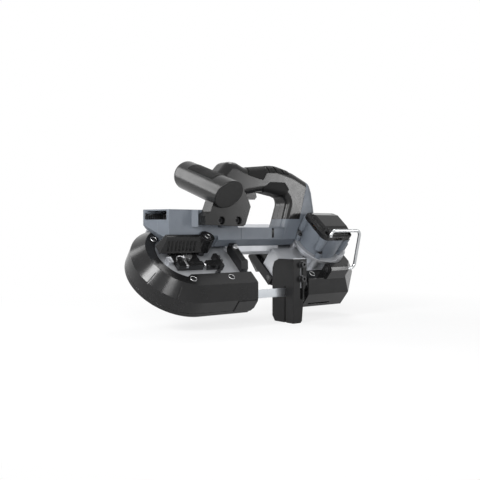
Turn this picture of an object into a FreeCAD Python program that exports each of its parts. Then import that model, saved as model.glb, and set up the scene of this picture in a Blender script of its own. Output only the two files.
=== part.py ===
import FreeCAD, Part
import math
import os
from FreeCAD import Vector, Rotation, Placement

# Compact portable band saw, in millimetres.
# X runs along the blade from the front wheel to the drive wheel, Y to the back, Z up to the handles.
# The origin is the middle of the cutting line. The plane of the blade loop is tilted about X:
# in the loop frame u runs along X, d from the wheel axes to the back, and n square to the loop.

# Blade loop and wheels
loop_tilt = 40.0
wheel_spacing = 235.0
path_radius = 58.09
blade_width = 12.7
blade_thickness = 0.6
twist_gap = 12.0
tyre_thickness = 2.5
wheel_width = 15.0
wheel_rim = 5.0
wheel_web = 5.0
hub_radius = 14.0
hub_rise = 4.0
web_holes = 6
web_hole_radius = 8.0

# Clearances
moving_gap = 0.3
running_fit = 0.05
seat_gap = 0.2

# Main frame
plate_top = 20.0
plate_thickness = 6.0
plate_inset = 14.5
frame_wall = 3.0
beam_wall_bottom = -8.0
beam_front = 11.0
beam_inner_wall = 45.0
throat_from_front_axle = 90.5
throat_from_drive_axle = 78.0
ledge_height = 8.4
ledge_overhang = 16.0
rear_deck_rise = 6.0
rear_deck_front = -15.0
throat_wall_bottom = -6.0

# Wheel guards
guard_room = 16.91
guard_wall = 3.0
guard_bottom = -17.5
guard_edge = 8.5
guard_top = 26.5
guard_slope_run = 15.3
guard_strip_width = 13.7
front_strip_extra = 8.0
front_guard_gap = 2.0
front_guard_sweep = 155.0
end_panel_length = 33.0
end_panel_proud = 1.2
end_panel_chamfer = 11.0
rear_guard_gap = 26.5
rear_guard_stop_angle = 52.0
guard_groove = 0.9
guard_screw_radius = 3.6
guard_screw_sink = 1.2
guard_screw_offsets = (-12.0, 50.0, -37.0)
guard_screw_angle = 138.2
guard_screw_back = 2.5
guard_seam_height = 6.0
guard_seam = 0.7
guard_end_wall = 2.5
blade_window = (12.0, 22.0)

# Throat bar
bar_gap = 3.0
bar_width = 12.0
bar_front = -24.0
bar_back = 14.0
bar_top = 34.0
bar_nose = 8.5

# Tension lever and carriage
lever_pivot_ahead = 28.2
lever_pivot_d = 9.3
lever_length = 72.0
lever_front = 0.5
lever_depth = 15.0
lever_bottom = 29.5
lever_top = 50.0
lever_top_width = 4.5
lever_slope = 3.0
lever_tip_slant = 8.0
lever_boss_radius = 10.3
lever_boss_rise = 2.0
lever_collar_radius = 6.0
lever_room = 1.5
lever_pin_radius = 4.0
lever_ribs = 8
lever_rib_pitch = 5.9
lever_rib_start = 5.5
lever_rib_depth = 0.8
carriage_travel = 5.0
carriage_behind = 23.5
carriage_ahead = 16.5
carriage_front = -24.0
carriage_back = 9.0
carriage_height = 5.0
carriage_rib = 3.5
axle_radius = 5.0
axle_head_radius = 7.5
axle_head_height = 2.2
idler_bearing_radius = 13.0
spring_wire = 1.2
spring_radius = 2.9
spring_sleeve_wall = 1.5
spring_seat_length = 6.0
spring_screw_radius = 2.5
spring_screw_length = 4.0
spring_turns = 5
spring_room = 25.0

# Gear train: two equal spur stages, so motor and drive wheel share one axis
gear_module = 0.9
pinion_teeth = 10
gear_teeth = 50
tooth_addendum = 0.6
tooth_dedendum = 0.9
tooth_backlash = 0.16
pressure_angle = 20.0
gear_width = 6.5
gear_spacing = 1.5
drive_shaft_radius = 6.0
layshaft_radius = 2.2
drive_bearing_radius = 13.0
case_wall = 3.5
case_flange_height = 5.0

# Motor
motor_radius = 31.0
motor_wall = 3.0
motor_length = 35.0
cap_length = 15.0
cap_straight = 6.0
cap_plate_length = 46.0
cap_plate_width = 26.0
motor_shaft_radius = 2.5
rotor_radius = 16.0
stator_gap = 0.6
stator_length = 26.0
stator_lift = 6.0
motor_bearing_radius = 7.0
motor_bearing_width = 3.5
motor_boss_radius = 4.5
motor_boss_height = 9.0
cap_half = 29.5
cap_corner = 9.0
cap_column_radius = 6.0
motor_boss_angles = (155.0, 235.0, 325.0, 35.0)
cap_boss_angles = (45.0, 135.0, 225.0, 315.0)
cap_boss_height = 4.0
cap_screw_depth = 8.0
cap_column_length = 22.0
vent_angles = (0.0, 90.0, 180.0, 270.0)
vent_spread = 10.0
vent_width = 5.2
screw_head_radius = 3.0
screw_head_height = 2.6
outlet_reach = 47.0
outlet_half_width = 16.0
outlet_height = 20.0

# Blade guides
guide_roller_radius = 4.5
guide_roller_height = 9.0
guide_pin_radius = 1.5
guide_block_length = 14.0
guide_block_depth = 19.0
back_pin_length = 12.0
side_pin_seat = 1.3
guide_inset = 10.5
roller_blade_gap = 0.05
arm_overlap = 3.0
arm_width = 13.0
arm_back = 44.0
arm_front = -22.0
arm_bottom = -20.0
lamp_radius = 4.0
lamp_d = -14.0
lamp_n = -12.0

# Work stop
stop_face_proud = 3.5
stop_thickness = 3.0
stop_front = -18.0
stop_back = 30.0
stop_bottom = -45.0
stop_top = 49.0
stop_corner = 15.0
stop_width = 26.0
stop_foot_width = 17.0
stop_step = 12.0
stop_slot_offset = 16.0
stop_slot_width = 5.5
stop_travel = 28.0
stop_blade_slot = 5.0
stop_blade_room = 8.5
stop_screw_radius = 2.4
stop_screw_length = 14.0
stop_screw_heights = (20.0, 41.0)
stop_head_radius = 4.3
stop_head_height = 5.0
stop_pad_top = 50.0

# Hook
hook_wire = 5.0
hook_block_inset = 17.5
hook_block_length = 36.0
hook_d = -54.2
hook_n = 39.2
hook_block_half = 8.5
hook_block_chamfer = 4.0
hook_leg = 59.5
hook_lean = 13.0
hook_reach = 61.0
hook_end_gap = 17.0
hook_tail = 10.0
hook_bend = 8.0

# Body and D-handle, seen from the front as X and Z
body_front = 27.0
body_back = 70.0
handle_depth = 38.0
beam_top = 95.5
beam_face = 17.5
block_face = 36.0
block_top = 120.0
dock_overhang = 28.5
block_reach = 51.5
dock_slant = 16.0
dock_depth = 30.0
dock_wall = 4.0
dock_height = 12.0
body_overhang = 6.5
panel_length = 22.0
panel_depth = 1.2
slot_width = 4.0
slot_depth = 3.0
wedge_width = 8.0
wedge_rise = 5.0
shell_floor = 4.0
board_length = 59.0
spine_foot = 108.5
grip_top = 187.0
grip_bottom = 146.0
hole_from_front_axle = 89.5
hole_from_drive_axle = 64.5
column_lean = 0.36
handle_edge = 11.0
hole_edge = 9.0
pad_rise = 0.8
trigger_offset = 15.0
trigger_length = 26.0
trigger_width = 14.0
trigger_drop = 9.0

# Front handle
pill_ahead = 43.5
pill_face_y = -12.0
pill_face_z = 140.0
pill_lean = 17.0
pill_length = 126.0
pill_radius = 21.5
pill_end_round = 10.5
pill_end_angle = 35.0
pill_face_edge = 1.5
pill_pad_length = 66.0
pill_pad_start = 24.0
pill_pad_width = 22.0
pill_pad_turn = -15.0
pill_pad_depth = 1.5
pill_pad_rise = 0.4
pill_pad_ribs = 13
bracket_front = 5.0
bracket_out_left = 28.0
bracket_out_right = 49.5
bracket_foot = 97.0
bracket_lobe = 15.0
bracket_screw_radius = 5.6
bracket_screw_offsets = (-1.0, 28.0)
bracket_screw_z = 105.0
bracket_screw_depth = 8.0
bracket_screw_head = 3.0

# Values worked out from the sizes above
half_spacing = wheel_spacing / 2
blade_length = 2 * wheel_spacing + 2 * math.pi * path_radius
far = 2 * wheel_spacing
throat_left = throat_from_front_axle - half_spacing
throat_right = half_spacing - throat_from_drive_axle
guard_reach = path_radius + guard_room
frame_reach = guard_reach
plate_reach = guard_reach - plate_inset
guard_shoulder = guard_reach - guard_slope_run
guard_strip = guard_shoulder - guard_strip_width
front_strip = guard_strip - front_strip_extra
front_guard_end = throat_left - front_guard_gap
rear_guard_start = throat_right + rear_guard_gap
bar_left = throat_left - bar_gap - bar_width
lever_pivot_u = lever_pivot_ahead - half_spacing
carriage_left = -half_spacing - carriage_behind
carriage_right = carriage_ahead - half_spacing
spring_seat_u = carriage_right + spring_room
front_guide_u = throat_left - guide_inset
rear_guide_u = throat_right + guide_inset
arm_left = throat_right - arm_overlap
stop_face = throat_right - stop_face_proud
stop_slot_centre = stop_face + stop_slot_offset
hook_block_left = half_spacing - hook_block_inset
beam_skirt = beam_top - beam_face
block_skirt = block_top - block_face
block_left = -half_spacing - dock_overhang
block_right = block_reach - half_spacing
body_right = half_spacing + body_overhang
dock_floor = block_top - dock_wall / 2 - dock_height
hole_left = hole_from_front_axle - half_spacing
hole_right = half_spacing - hole_from_drive_axle
hole_span = hole_right - hole_left
trigger_front = hole_left + trigger_offset
pill_x = pill_ahead - half_spacing
bracket_left = pill_x - bracket_out_left
bracket_right = pill_x + bracket_out_right
bracket_screw_x = [pill_x + offset for offset in bracket_screw_offsets]
tyre_radius = path_radius - blade_thickness / 2 - moving_gap
plate_bottom = plate_top - plate_thickness
gear_distance = gear_module * (pinion_teeth + gear_teeth) / 2
gear_tip = gear_module * (gear_teeth / 2 + tooth_addendum)
low_gear_n = plate_top + 1.0
high_gear_n = low_gear_n + gear_width + gear_spacing
case_inside_top = high_gear_n + gear_width + 0.8
case_top = case_inside_top + case_wall
case_reach = gear_tip + 1.2 + case_wall
lay_u = half_spacing + gear_distance
motor_boss_circle = motor_radius + screw_head_radius + 0.5
cap_boss_circle = math.sqrt(2) * (cap_half - cap_column_radius)
case_flange_radius = motor_boss_circle + motor_boss_radius
motor_top = case_top + motor_length
cap_top = motor_top + cap_length
handle_mid = body_front + handle_depth / 2
tilt_rad = math.radians(loop_tilt)
loop_place = Placement(Vector(0, path_radius * math.cos(tilt_rad), path_radius * math.sin(tilt_rad)),
                       Rotation(Vector(1, 0, 0), loop_tilt))


def box(x0, x1, y0, y1, z0, z1):
    return Part.makeBox(x1 - x0, y1 - y0, z1 - z0, Vector(x0, y0, z0))


def disc(radius, low, high, u=0.0, d=0.0):
    return Part.makeCylinder(radius, high - low, Vector(u, d, low))


def ring(outer, inner, low, high, u=0.0, d=0.0):
    return disc(outer, low, high, u, d).cut(disc(inner, low - 1, high + 1, u, d))


def sector(outer, inner, low, high, u, start, sweep):
    # Ring segment about a wheel axis, from a start angle over a sweep, both in degrees
    face = Part.makePolygon([Vector(inner, 0, low), Vector(outer, 0, low), Vector(outer, 0, high),
                             Vector(inner, 0, high), Vector(inner, 0, low)])
    solid = Part.Face(face).revolve(Vector(0, 0, 0), Vector(0, 0, 1), sweep)
    solid.rotate(Vector(0, 0, 0), Vector(0, 0, 1), start)
    solid.translate(Vector(u, 0, 0))
    return solid


def face_xy(points, z=0.0):
    corners = [Vector(x, y, z) for x, y in points]
    return Part.Face(Part.makePolygon(corners + corners[:1]))


def prism_x(points, low, high):
    corners = [Vector(low, y, z) for y, z in points]
    return Part.Face(Part.makePolygon(corners + corners[:1])).extrude(Vector(high - low, 0, 0))


def prism_y(points, low, high):
    corners = [Vector(x, low, z) for x, z in points]
    return Part.Face(Part.makePolygon(corners + corners[:1])).extrude(Vector(0, high - low, 0))


def prism_z(points, low, high):
    return face_xy(points, low).extrude(Vector(0, 0, high - low))


def fuse(shapes):
    joined = shapes[0].multiFuse(shapes[1:]) if len(shapes) > 1 else shapes[0]
    return joined.removeSplitter()


def group(shapes):
    return Part.makeCompound(shapes)


def in_saw(shape):
    # From the loop frame to the saw's frame
    placed = shape.copy()
    placed.Placement = loop_place.multiply(placed.Placement)
    return placed


def loop_point(u, d, n):
    return loop_place.multVec(Vector(u, d, n))


def rounded_wire(corners, y):
    # Closed outline in X and Z at depth y, each corner (x, z, radius) rounded by a tangent arc
    count = len(corners)
    ends = []
    for index, (x, z, radius) in enumerate(corners):
        here = Vector(x, y, z)
        before = Vector(corners[index - 1][0], y, corners[index - 1][1])
        after = Vector(corners[(index + 1) % count][0], y, corners[(index + 1) % count][1])
        back = (before - here).normalize()
        ahead = (after - here).normalize()
        half_turn = math.acos(max(-1.0, min(1.0, back.dot(ahead)))) / 2
        run = radius / math.tan(half_turn)
        middle_way = (back + ahead).normalize()
        middle = here + middle_way * (radius / math.sin(half_turn) - radius)
        ends.append((here + back * run, middle, here + ahead * run))
    edges = []
    for index in range(count):
        start, middle, stop = ends[index]
        edges.append(Part.Arc(start, middle, stop).toShape())
        edges.append(Part.LineSegment(stop, ends[(index + 1) % count][0]).toShape())
    return Part.Wire(edges)


def tube(points, diameter, bend):
    # Round wire through the points, with a tangent arc at each inner point
    edges = []
    start = points[0]
    for before, here, after in zip(points, points[1:], points[2:]):
        back = (before - here).normalize()
        ahead = (after - here).normalize()
        half_turn = math.acos(back.dot(ahead)) / 2
        run = bend / math.tan(half_turn)
        middle = here + (back + ahead).normalize() * (bend / math.sin(half_turn) - bend)
        edges.append(Part.LineSegment(start, here + back * run).toShape())
        edges.append(Part.Arc(here + back * run, middle, here + ahead * run).toShape())
        start = here + ahead * run
    edges.append(Part.LineSegment(start, points[-1]).toShape())
    way = points[1] - points[0]
    section = Part.Wire(Part.makeCircle(diameter / 2, points[0], way))
    return Part.Wire(edges).makePipeShell([section], True, False)


def half_stadium(reach, low, high):
    return fuse([disc(reach, low, high, -half_spacing), disc(reach, low, high, half_spacing),
                 box(-half_spacing, half_spacing, -reach, reach, low, high)])


def throat_cut(low, high):
    return box(throat_left, throat_right, -2 * frame_reach, beam_front, low, high)


def stop_pad():
    # Upright pad behind the work stop, in X, Y, Z; it grows from the tilted plate
    def plate_height(y):
        return (plate_bottom + y * math.sin(tilt_rad)) / math.cos(tilt_rad)
    front = stop_front + stop_thickness + seat_gap
    back = loop_point(0, rear_deck_front, plate_top)
    points = [(front, plate_height(front)), (front, stop_pad_top), (front + 6, stop_pad_top),
              (back.y, back.z + 4), (back.y, plate_height(back.y))]
    return prism_x(points, throat_right, stop_face + stop_width)


def main_frame():
    plate = half_stadium(plate_reach, plate_bottom, plate_top)
    left_rim_start = 90.0
    left_rim = 180.0 - (front_guard_sweep - 90.0) - 90.0 - 2.0
    rear_rim = 90.0 - rear_guard_stop_angle - 2.0
    pieces = [plate,
              box(-half_spacing, half_spacing, 0, frame_reach, plate_bottom, plate_top),
              sector(frame_reach, 1, plate_bottom, plate_top, -half_spacing, left_rim_start, left_rim),
              sector(frame_reach, 1, plate_bottom, plate_top, half_spacing, rear_guard_stop_angle + 2,
                     rear_rim),
              sector(frame_reach, frame_reach - frame_wall, guard_bottom, plate_top, -half_spacing,
                     left_rim_start, left_rim),
              sector(frame_reach, frame_reach - frame_wall, guard_bottom, plate_top, half_spacing,
                     rear_guard_stop_angle + 2, rear_rim),
              box(-half_spacing, half_spacing, frame_reach - frame_wall, frame_reach,
                  beam_wall_bottom, plate_bottom),
              box(-half_spacing / 3, half_spacing / 3, beam_inner_wall, beam_inner_wall + frame_wall,
                  beam_wall_bottom, plate_bottom)]
    frame = fuse(pieces).cut(throat_cut(guard_bottom - 1, plate_top + 1))
    wall = box(throat_right, throat_right + frame_wall, rear_deck_front - 20, beam_front,
               throat_wall_bottom, plate_bottom)
    deck = box(throat_right, half_spacing - case_reach - seat_gap, rear_deck_front, beam_front - 2,
               plate_top, plate_top + rear_deck_rise)
    frame = fuse([frame, wall, deck])
    # Bore for the drive bearing, slot for the idler axle, holes for the lever pin and the layshaft
    slot = fuse([disc(axle_radius + 1, plate_bottom - 1, plate_top + 1, -half_spacing),
                 disc(axle_radius + 1, plate_bottom - 1, plate_top + 1, -half_spacing + carriage_travel),
                 box(-half_spacing, -half_spacing + carriage_travel, -axle_radius - 1, axle_radius + 1,
                     plate_bottom - 1, plate_top + 1)])
    frame = frame.cut(slot)
    frame = frame.cut(disc(drive_bearing_radius, plate_bottom - 1, plate_top + 1, half_spacing))
    frame = frame.cut(disc(lever_pin_radius, plate_bottom + 2, plate_top + 1, lever_pivot_u, lever_pivot_d))
    frame = frame.cut(disc(layshaft_radius + running_fit, plate_bottom + 1, plate_top + 1, lay_u))
    # Ledge with an upright front along the back of the throat
    corner = loop_point(0, beam_front, plate_top)
    run = ledge_height / math.tan(tilt_rad)
    ledge = prism_x([(corner.y, corner.z), (corner.y, corner.z + ledge_height),
                     (corner.y + run, corner.z + ledge_height)],
                    throat_left - ledge_overhang, throat_right + ledge_overhang)
    frame = fuse([in_saw(frame), ledge, stop_pad()])
    for z in stop_screw_heights:
        frame = frame.cut(Part.makeCylinder(stop_screw_radius, stop_screw_length,
                                            Vector(stop_slot_centre, stop_front, z), Vector(0, 1, 0)))
    return frame


def guard_profile():
    # Section of the guard as distance from the loop's axis line and height n
    slope = (guard_reach - guard_shoulder) / (guard_top - guard_edge)
    inner = guard_reach - guard_wall
    inner_edge = guard_edge - guard_wall * 0.4
    inner_at_plate = inner - (plate_top - inner_edge) * slope
    return [(guard_reach, guard_bottom), (guard_reach, guard_edge), (guard_shoulder, guard_top),
            (guard_strip, guard_top), (guard_strip, plate_top), (inner_at_plate, plate_top),
            (inner, inner_edge), (inner, guard_bottom)]


def screw_places():
    front = -(front_strip + guard_shoulder) / 2 + guard_screw_back
    bend_radius = (guard_strip + guard_shoulder) / 2 - guard_screw_back
    turn = math.radians(guard_screw_angle)
    first, second, rear = guard_screw_offsets
    return [(-half_spacing + first, front), (-half_spacing + second, front),
            (-half_spacing + bend_radius * math.cos(turn), bend_radius * math.sin(turn)),
            (half_spacing + rear, front - guard_screw_back)]


def front_wheel_guard():
    corners = [Vector(0, -r, n) for r, n in guard_profile()]
    section = Part.Face(Part.makePolygon(corners + corners[:1]))
    arc = section.revolve(Vector(0, 0, 0), Vector(0, 0, 1), -front_guard_sweep)
    arc.translate(Vector(-half_spacing, 0, 0))
    start = section.copy()
    start.translate(Vector(-half_spacing, 0, 0))
    run = start.extrude(Vector(half_spacing + front_guard_end, 0, 0))
    strip = prism_z([(-half_spacing - 26, -guard_strip - 1), (-half_spacing - 12, -front_strip),
                     (front_guard_end, -front_strip), (front_guard_end, -guard_strip - 1)],
                    plate_top, guard_top)
    guard = fuse([arc, run, strip])
    seam = guard_bottom + guard_seam_height
    guard = guard.cut(sector(guard_reach + 1, guard_reach - guard_seam, seam, seam + guard_seam,
                             -half_spacing, 270.0 - front_guard_sweep, front_guard_sweep))
    guard = guard.cut(box(-half_spacing, front_guard_end - end_panel_length, -guard_reach - 1,
                          -guard_reach + guard_seam, seam, seam + guard_seam))
    panel = box(front_guard_end - end_panel_length, front_guard_end, -guard_reach - end_panel_proud,
                -guard_reach, guard_bottom + 4, guard_edge - 2)
    guard = fuse([guard, panel])
    guard = guard.cut(prism_y([(front_guard_end + 1, guard_bottom - 1),
                               (front_guard_end - end_panel_chamfer * 0.7, guard_bottom - 1),
                               (front_guard_end + 1, guard_bottom + end_panel_chamfer)],
                              -2 * guard_reach, -front_strip))
    # Grooves cut across the slope, fanned about the wheel axis
    for angle in (205.0, 222.0, 239.0):
        groove = box(guard_shoulder - 1, guard_reach + 5, -guard_groove, guard_groove,
                     -guard_groove, guard_groove)
        groove.rotate(Vector(guard_reach, 0, 0), Vector(0, 1, 0),
                      math.degrees(math.atan2(guard_top - guard_edge, guard_reach - guard_shoulder)))
        groove.translate(Vector(0, 0, guard_edge))
        groove.rotate(Vector(0, 0, 0), Vector(0, 0, 1), angle)
        groove.translate(Vector(-half_spacing, 0, 0))
        guard = guard.cut(groove)
    floor = guard_top - guard_screw_sink - 2
    for u, d in screw_places()[:3]:
        guard = guard.cut(disc(guard_screw_radius + 1, floor, guard_top + 1, u, d))
        guard = guard.cut(disc(guard_screw_radius / 2, plate_top - 1, guard_top, u, d))
    return in_saw(guard)


def tangent_outline(reach, start_u):
    # Angular outline about the drive wheel: flat sides that touch a circle of the given reach
    sides = [-90.0, -45.0, 0.0, rear_guard_stop_angle]
    points = [(start_u, -reach)]
    for before, after in zip(sides, sides[1:]):
        middle = math.radians((before + after) / 2)
        corner = reach / math.cos(math.radians(after - before) / 2)
        points.append((half_spacing + corner * math.cos(middle), corner * math.sin(middle)))
    last = math.radians(sides[-1])
    points.append((half_spacing + reach * math.cos(last), reach * math.sin(last)))
    return points


def outline_slab(reach_low, reach_high, low, high):
    # Tapered slab between two angular outlines, closed through the wheel axis
    rims = []
    for reach, n in ((reach_low, low), (reach_high, high)):
        points = tangent_outline(reach, rear_guard_start)
        corners = [Vector(u, d, n) for u, d in points]
        corners += [Vector(half_spacing, 0, n), Vector(rear_guard_start, 0, n)]
        rims.append(Part.makePolygon(corners + corners[:1]))
    return Part.makeLoft(rims, True, True)


def rear_wheel_guard():
    outer = fuse([outline_slab(guard_reach, guard_reach, guard_bottom, guard_edge),
                  outline_slab(guard_reach, guard_shoulder, guard_edge, guard_top)])
    inner_reach = guard_reach - guard_wall
    inner_edge = guard_edge - guard_wall * 0.4
    inner_shoulder = guard_profile()[5][0]
    cavity = fuse([outline_slab(inner_reach, inner_reach, guard_bottom - 1, inner_edge),
                   outline_slab(inner_reach, inner_shoulder, inner_edge, plate_top)])
    guard = outer.cut(cavity)
    guard = guard.cut(outline_slab(guard_strip - 4, guard_strip - 4, guard_bottom - 1, guard_top + 1))
    # End wall with a window that the blade runs through
    start = rear_guard_start
    end = outer.common(box(start, start + guard_end_wall, -guard_reach - 1, -guard_strip,
                           guard_bottom, plate_bottom - seat_gap))
    depth, height = blade_window
    window = box(start - 1, start + guard_end_wall + 1, -path_radius - depth / 2, -path_radius + depth / 2,
                 -height / 2, height / 2)
    guard = fuse([guard, end]).cut(window)
    guard = guard.cut(case_outline(case_reach + seat_gap, plate_top, guard_top + 1))
    # Long vent slot through the front wall
    guard = guard.cut(box(half_spacing - 42, half_spacing + 2, -guard_reach - 1,
                          -guard_reach + guard_wall + 1,
                          guard_bottom + 5, guard_bottom + 8))
    u, d = screw_places()[3]
    guard = guard.cut(disc(guard_screw_radius + 1, guard_top - guard_screw_sink - 2, guard_top + 1, u, d))
    guard = guard.cut(disc(guard_screw_radius / 2, plate_top - 1, guard_top, u, d))
    return in_saw(guard)


def guard_screws():
    screws = []
    for u, d in screw_places():
        head = disc(guard_screw_radius, guard_top - guard_screw_sink - 2, guard_top - guard_screw_sink, u, d)
        socket = disc(guard_screw_radius / 2.4, guard_top - guard_screw_sink - 1.2, guard_top, u, d)
        shank = disc(guard_screw_radius / 2, plate_top, guard_top - guard_screw_sink - 2, u, d)
        screws.append(in_saw(fuse([head, shank]).cut(socket)))
    return group(screws)


def throat_bar():
    nose_run = bar_nose / math.tan(math.radians(90 - loop_tilt - 2))
    points = [(bar_back, plate_top), (bar_back, bar_top), (bar_front, bar_top),
              (bar_front - nose_run, bar_top - bar_nose), (bar_front - nose_run, plate_top)]
    bar = prism_x(points, bar_left, bar_left + bar_width)
    recess = box(bar_left + bar_width - 1.5, bar_left + bar_width + 1, bar_front + 4, bar_back - 4,
                 bar_top - 3, bar_top + 1)
    bar = in_saw(bar.cut(recess))
    # The back end stands upright against the ledge
    ledge = loop_point(0, beam_front, plate_top).y - seat_gap
    return bar.cut(box(2 * bar_left, 0, ledge, 3 * ledge, 0, 3 * ledge))


def blade_section(centre, across, along):
    # Rectangle of the band: across is the way its width runs, along the way it travels
    side = across.cross(along).normalize() * (blade_thickness / 2)
    reach = across * (blade_width / 2)
    corners = [centre + reach + side, centre + reach - side, centre - reach - side, centre - reach + side]
    return Part.makePolygon(corners + corners[:1])


def blade():
    ring_ends = []
    for side in (-1, 1):
        start = 90.0 if side < 0 else -90.0
        ring_ends.append(in_saw(sector(path_radius + blade_thickness / 2, path_radius - blade_thickness / 2,
                                       -blade_width / 2, blade_width / 2, side * half_spacing, start, 180)))
    back = in_saw(box(-half_spacing, half_spacing, path_radius - blade_thickness / 2,
                      path_radius + blade_thickness / 2, -blade_width / 2, blade_width / 2))
    # The front run twists from the tilt of the wheels to upright and back again
    twist_steps = 6
    left = (-half_spacing + twist_gap, front_guide_u - guide_block_length)
    right = (half_spacing - twist_gap, rear_guide_u + guide_block_length)
    stations = [(-half_spacing, 1.0)]
    for step in range(twist_steps + 1):
        share = step / twist_steps
        stations.append((left[0] + share * (left[1] - left[0]), 1 - share))
    for step in range(twist_steps, -1, -1):
        share = step / twist_steps
        stations.append((right[0] + share * (right[1] - right[0]), 1 - share))
    stations.append((half_spacing, 1.0))
    sections = []
    for x, share in stations:
        angle = tilt_rad * share
        across = Vector(0, -math.sin(angle), math.cos(angle))
        sections.append(blade_section(Vector(x, 0, 0), across, Vector(1, 0, 0)))
    front = Part.makeLoft(sections, True, True)
    return fuse(ring_ends + [back, front])


def wheel(u):
    rim_outer = tyre_radius - tyre_thickness
    half = wheel_width / 2
    body = ring(rim_outer, rim_outer - wheel_rim, -half, half, u)
    body = fuse([body, disc(rim_outer - 1, -wheel_web / 2, wheel_web / 2, u),
                 disc(hub_radius + 3, -half, half + hub_rise, u)])
    for index in range(web_holes):
        angle = 2 * math.pi * (index + 0.5) / web_holes
        radius = (rim_outer - wheel_rim + hub_radius + 3) / 2
        body = body.cut(disc(web_hole_radius, -half, half, u + radius * math.cos(angle),
                             radius * math.sin(angle)))
    return body


def tyre(u):
    return in_saw(ring(tyre_radius, tyre_radius - tyre_thickness, -wheel_width / 2, wheel_width / 2, u))


def front_wheel():
    body = wheel(-half_spacing)
    body = body.cut(disc(idler_bearing_radius, -wheel_width / 2 + 3, wheel_width / 2 + hub_rise + 1,
                         -half_spacing))
    return in_saw(body.cut(disc(axle_head_radius + 2, -wheel_width, wheel_width, -half_spacing)))


def idler_bearing():
    return in_saw(ring(idler_bearing_radius, axle_radius + running_fit, -wheel_width / 2 + 3,
                       wheel_width / 2 + hub_rise, -half_spacing))


def idler_axle():
    foot = disc(axle_head_radius, -wheel_width / 2 - 1.5, -wheel_width / 2 + 3 - moving_gap, -half_spacing)
    shaft = disc(axle_radius, -wheel_width / 2 + 1, plate_top + carriage_height, -half_spacing)
    head = disc(axle_head_radius, plate_top + carriage_height,
                plate_top + carriage_height + axle_head_height, -half_spacing)
    return in_saw(fuse([foot, shaft, head]))


def tension_carriage():
    low = plate_top + seat_gap
    top = plate_top + carriage_height
    slab = box(carriage_left, carriage_right, carriage_front, carriage_back, low, top)
    rib = box(carriage_left, carriage_right, carriage_front, carriage_front + 9, top, top + carriage_rib)
    bar = fuse([slab, rib])
    bar = bar.cut(box(carriage_left + 18, carriage_right - 3, carriage_front + 2.5, carriage_front + 6.5,
                      top + carriage_rib - 1.2, top + carriage_rib + 1))
    bar = bar.cut(disc(axle_radius, low - 1, top + 1, -half_spacing))
    # Blind seat for the spring in the end that faces it
    seat = Part.makeCylinder(spring_radius + spring_wire, 6, Vector(carriage_right - 6, carriage_front + 4.5,
                                                                 low + spring_radius), Vector(1, 0, 0))
    return in_saw(bar.cut(seat.common(box(carriage_right - 7, carriage_right + 1, carriage_front - 5,
                                          carriage_front + 15, low - 1, top - 0.6))))


def spring_line():
    # One helix between the carriage and its seat, cut into quarter turns
    start = carriage_right + moving_gap
    length = spring_seat_u - start - moving_gap
    axis_d = carriage_front + 4.5
    axis_n = plate_top + spring_radius + spring_wire / 2 + seat_gap

    def point(share):
        angle = 2 * math.pi * spring_turns * share
        reach = spring_wire / 2 + share * (length - spring_wire)
        return Vector(start + reach, axis_d + spring_radius * math.cos(angle),
                      axis_n + spring_radius * math.sin(angle))
    return point


def tension_spring():
    point = spring_line()
    quarters = spring_turns * 4
    edges = []
    for quarter in range(quarters):
        edges.append(Part.Arc(point(quarter / quarters), point((quarter + 0.5) / quarters),
                              point((quarter + 1) / quarters)).toShape())
    wire = Part.Wire(edges)
    way = edges[0].tangentAt(edges[0].FirstParameter)
    section = Part.Wire(Part.makeCircle(spring_wire / 2, point(0), way))
    pitch = (point(1) - point(0)).x / spring_turns
    print("spring: least gap between turns %.2f mm" % (pitch - spring_wire))
    return in_saw(wire.makePipeShell([section], True, False))


def spring_seat():
    # End plate with its screw, and a sleeve over the spring that the carriage can't reach
    axis_d = carriage_front + 4.5
    axis_n = plate_top + spring_radius + spring_wire / 2 + seat_gap
    bore = spring_radius + spring_wire / 2 + moving_gap
    top = axis_n + bore + spring_sleeve_wall
    far_end = spring_seat_u + spring_seat_length
    seat = box(spring_seat_u, far_end, carriage_front - 3, carriage_back - 10, plate_top, top)
    start = carriage_right + carriage_travel + 1
    reach = bore + spring_sleeve_wall
    sleeve = box(start, spring_seat_u, axis_d - reach, axis_d + reach, plate_top, top)
    along = Vector(1, 0, 0)
    mouth = Vector(start - 1, axis_d, axis_n)
    tunnel = fuse([Part.makeCylinder(bore, spring_seat_u - mouth.x, mouth, along),
                   box(mouth.x, spring_seat_u, axis_d - bore, axis_d + bore, plate_top - 1, axis_n)])
    tip = Vector(far_end, axis_d, axis_n)
    screw = Part.makeCylinder(spring_screw_radius, spring_screw_length, tip, along)
    return in_saw(fuse([seat, sleeve.cut(tunnel), screw]))


def lever_face():
    # Leaning front of the lever from its foot to the slope, as (d, n)
    back = lever_front + lever_depth
    return (lever_front, lever_bottom), (back - lever_top_width - lever_slope, lever_top - lever_slope / 2)


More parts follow.
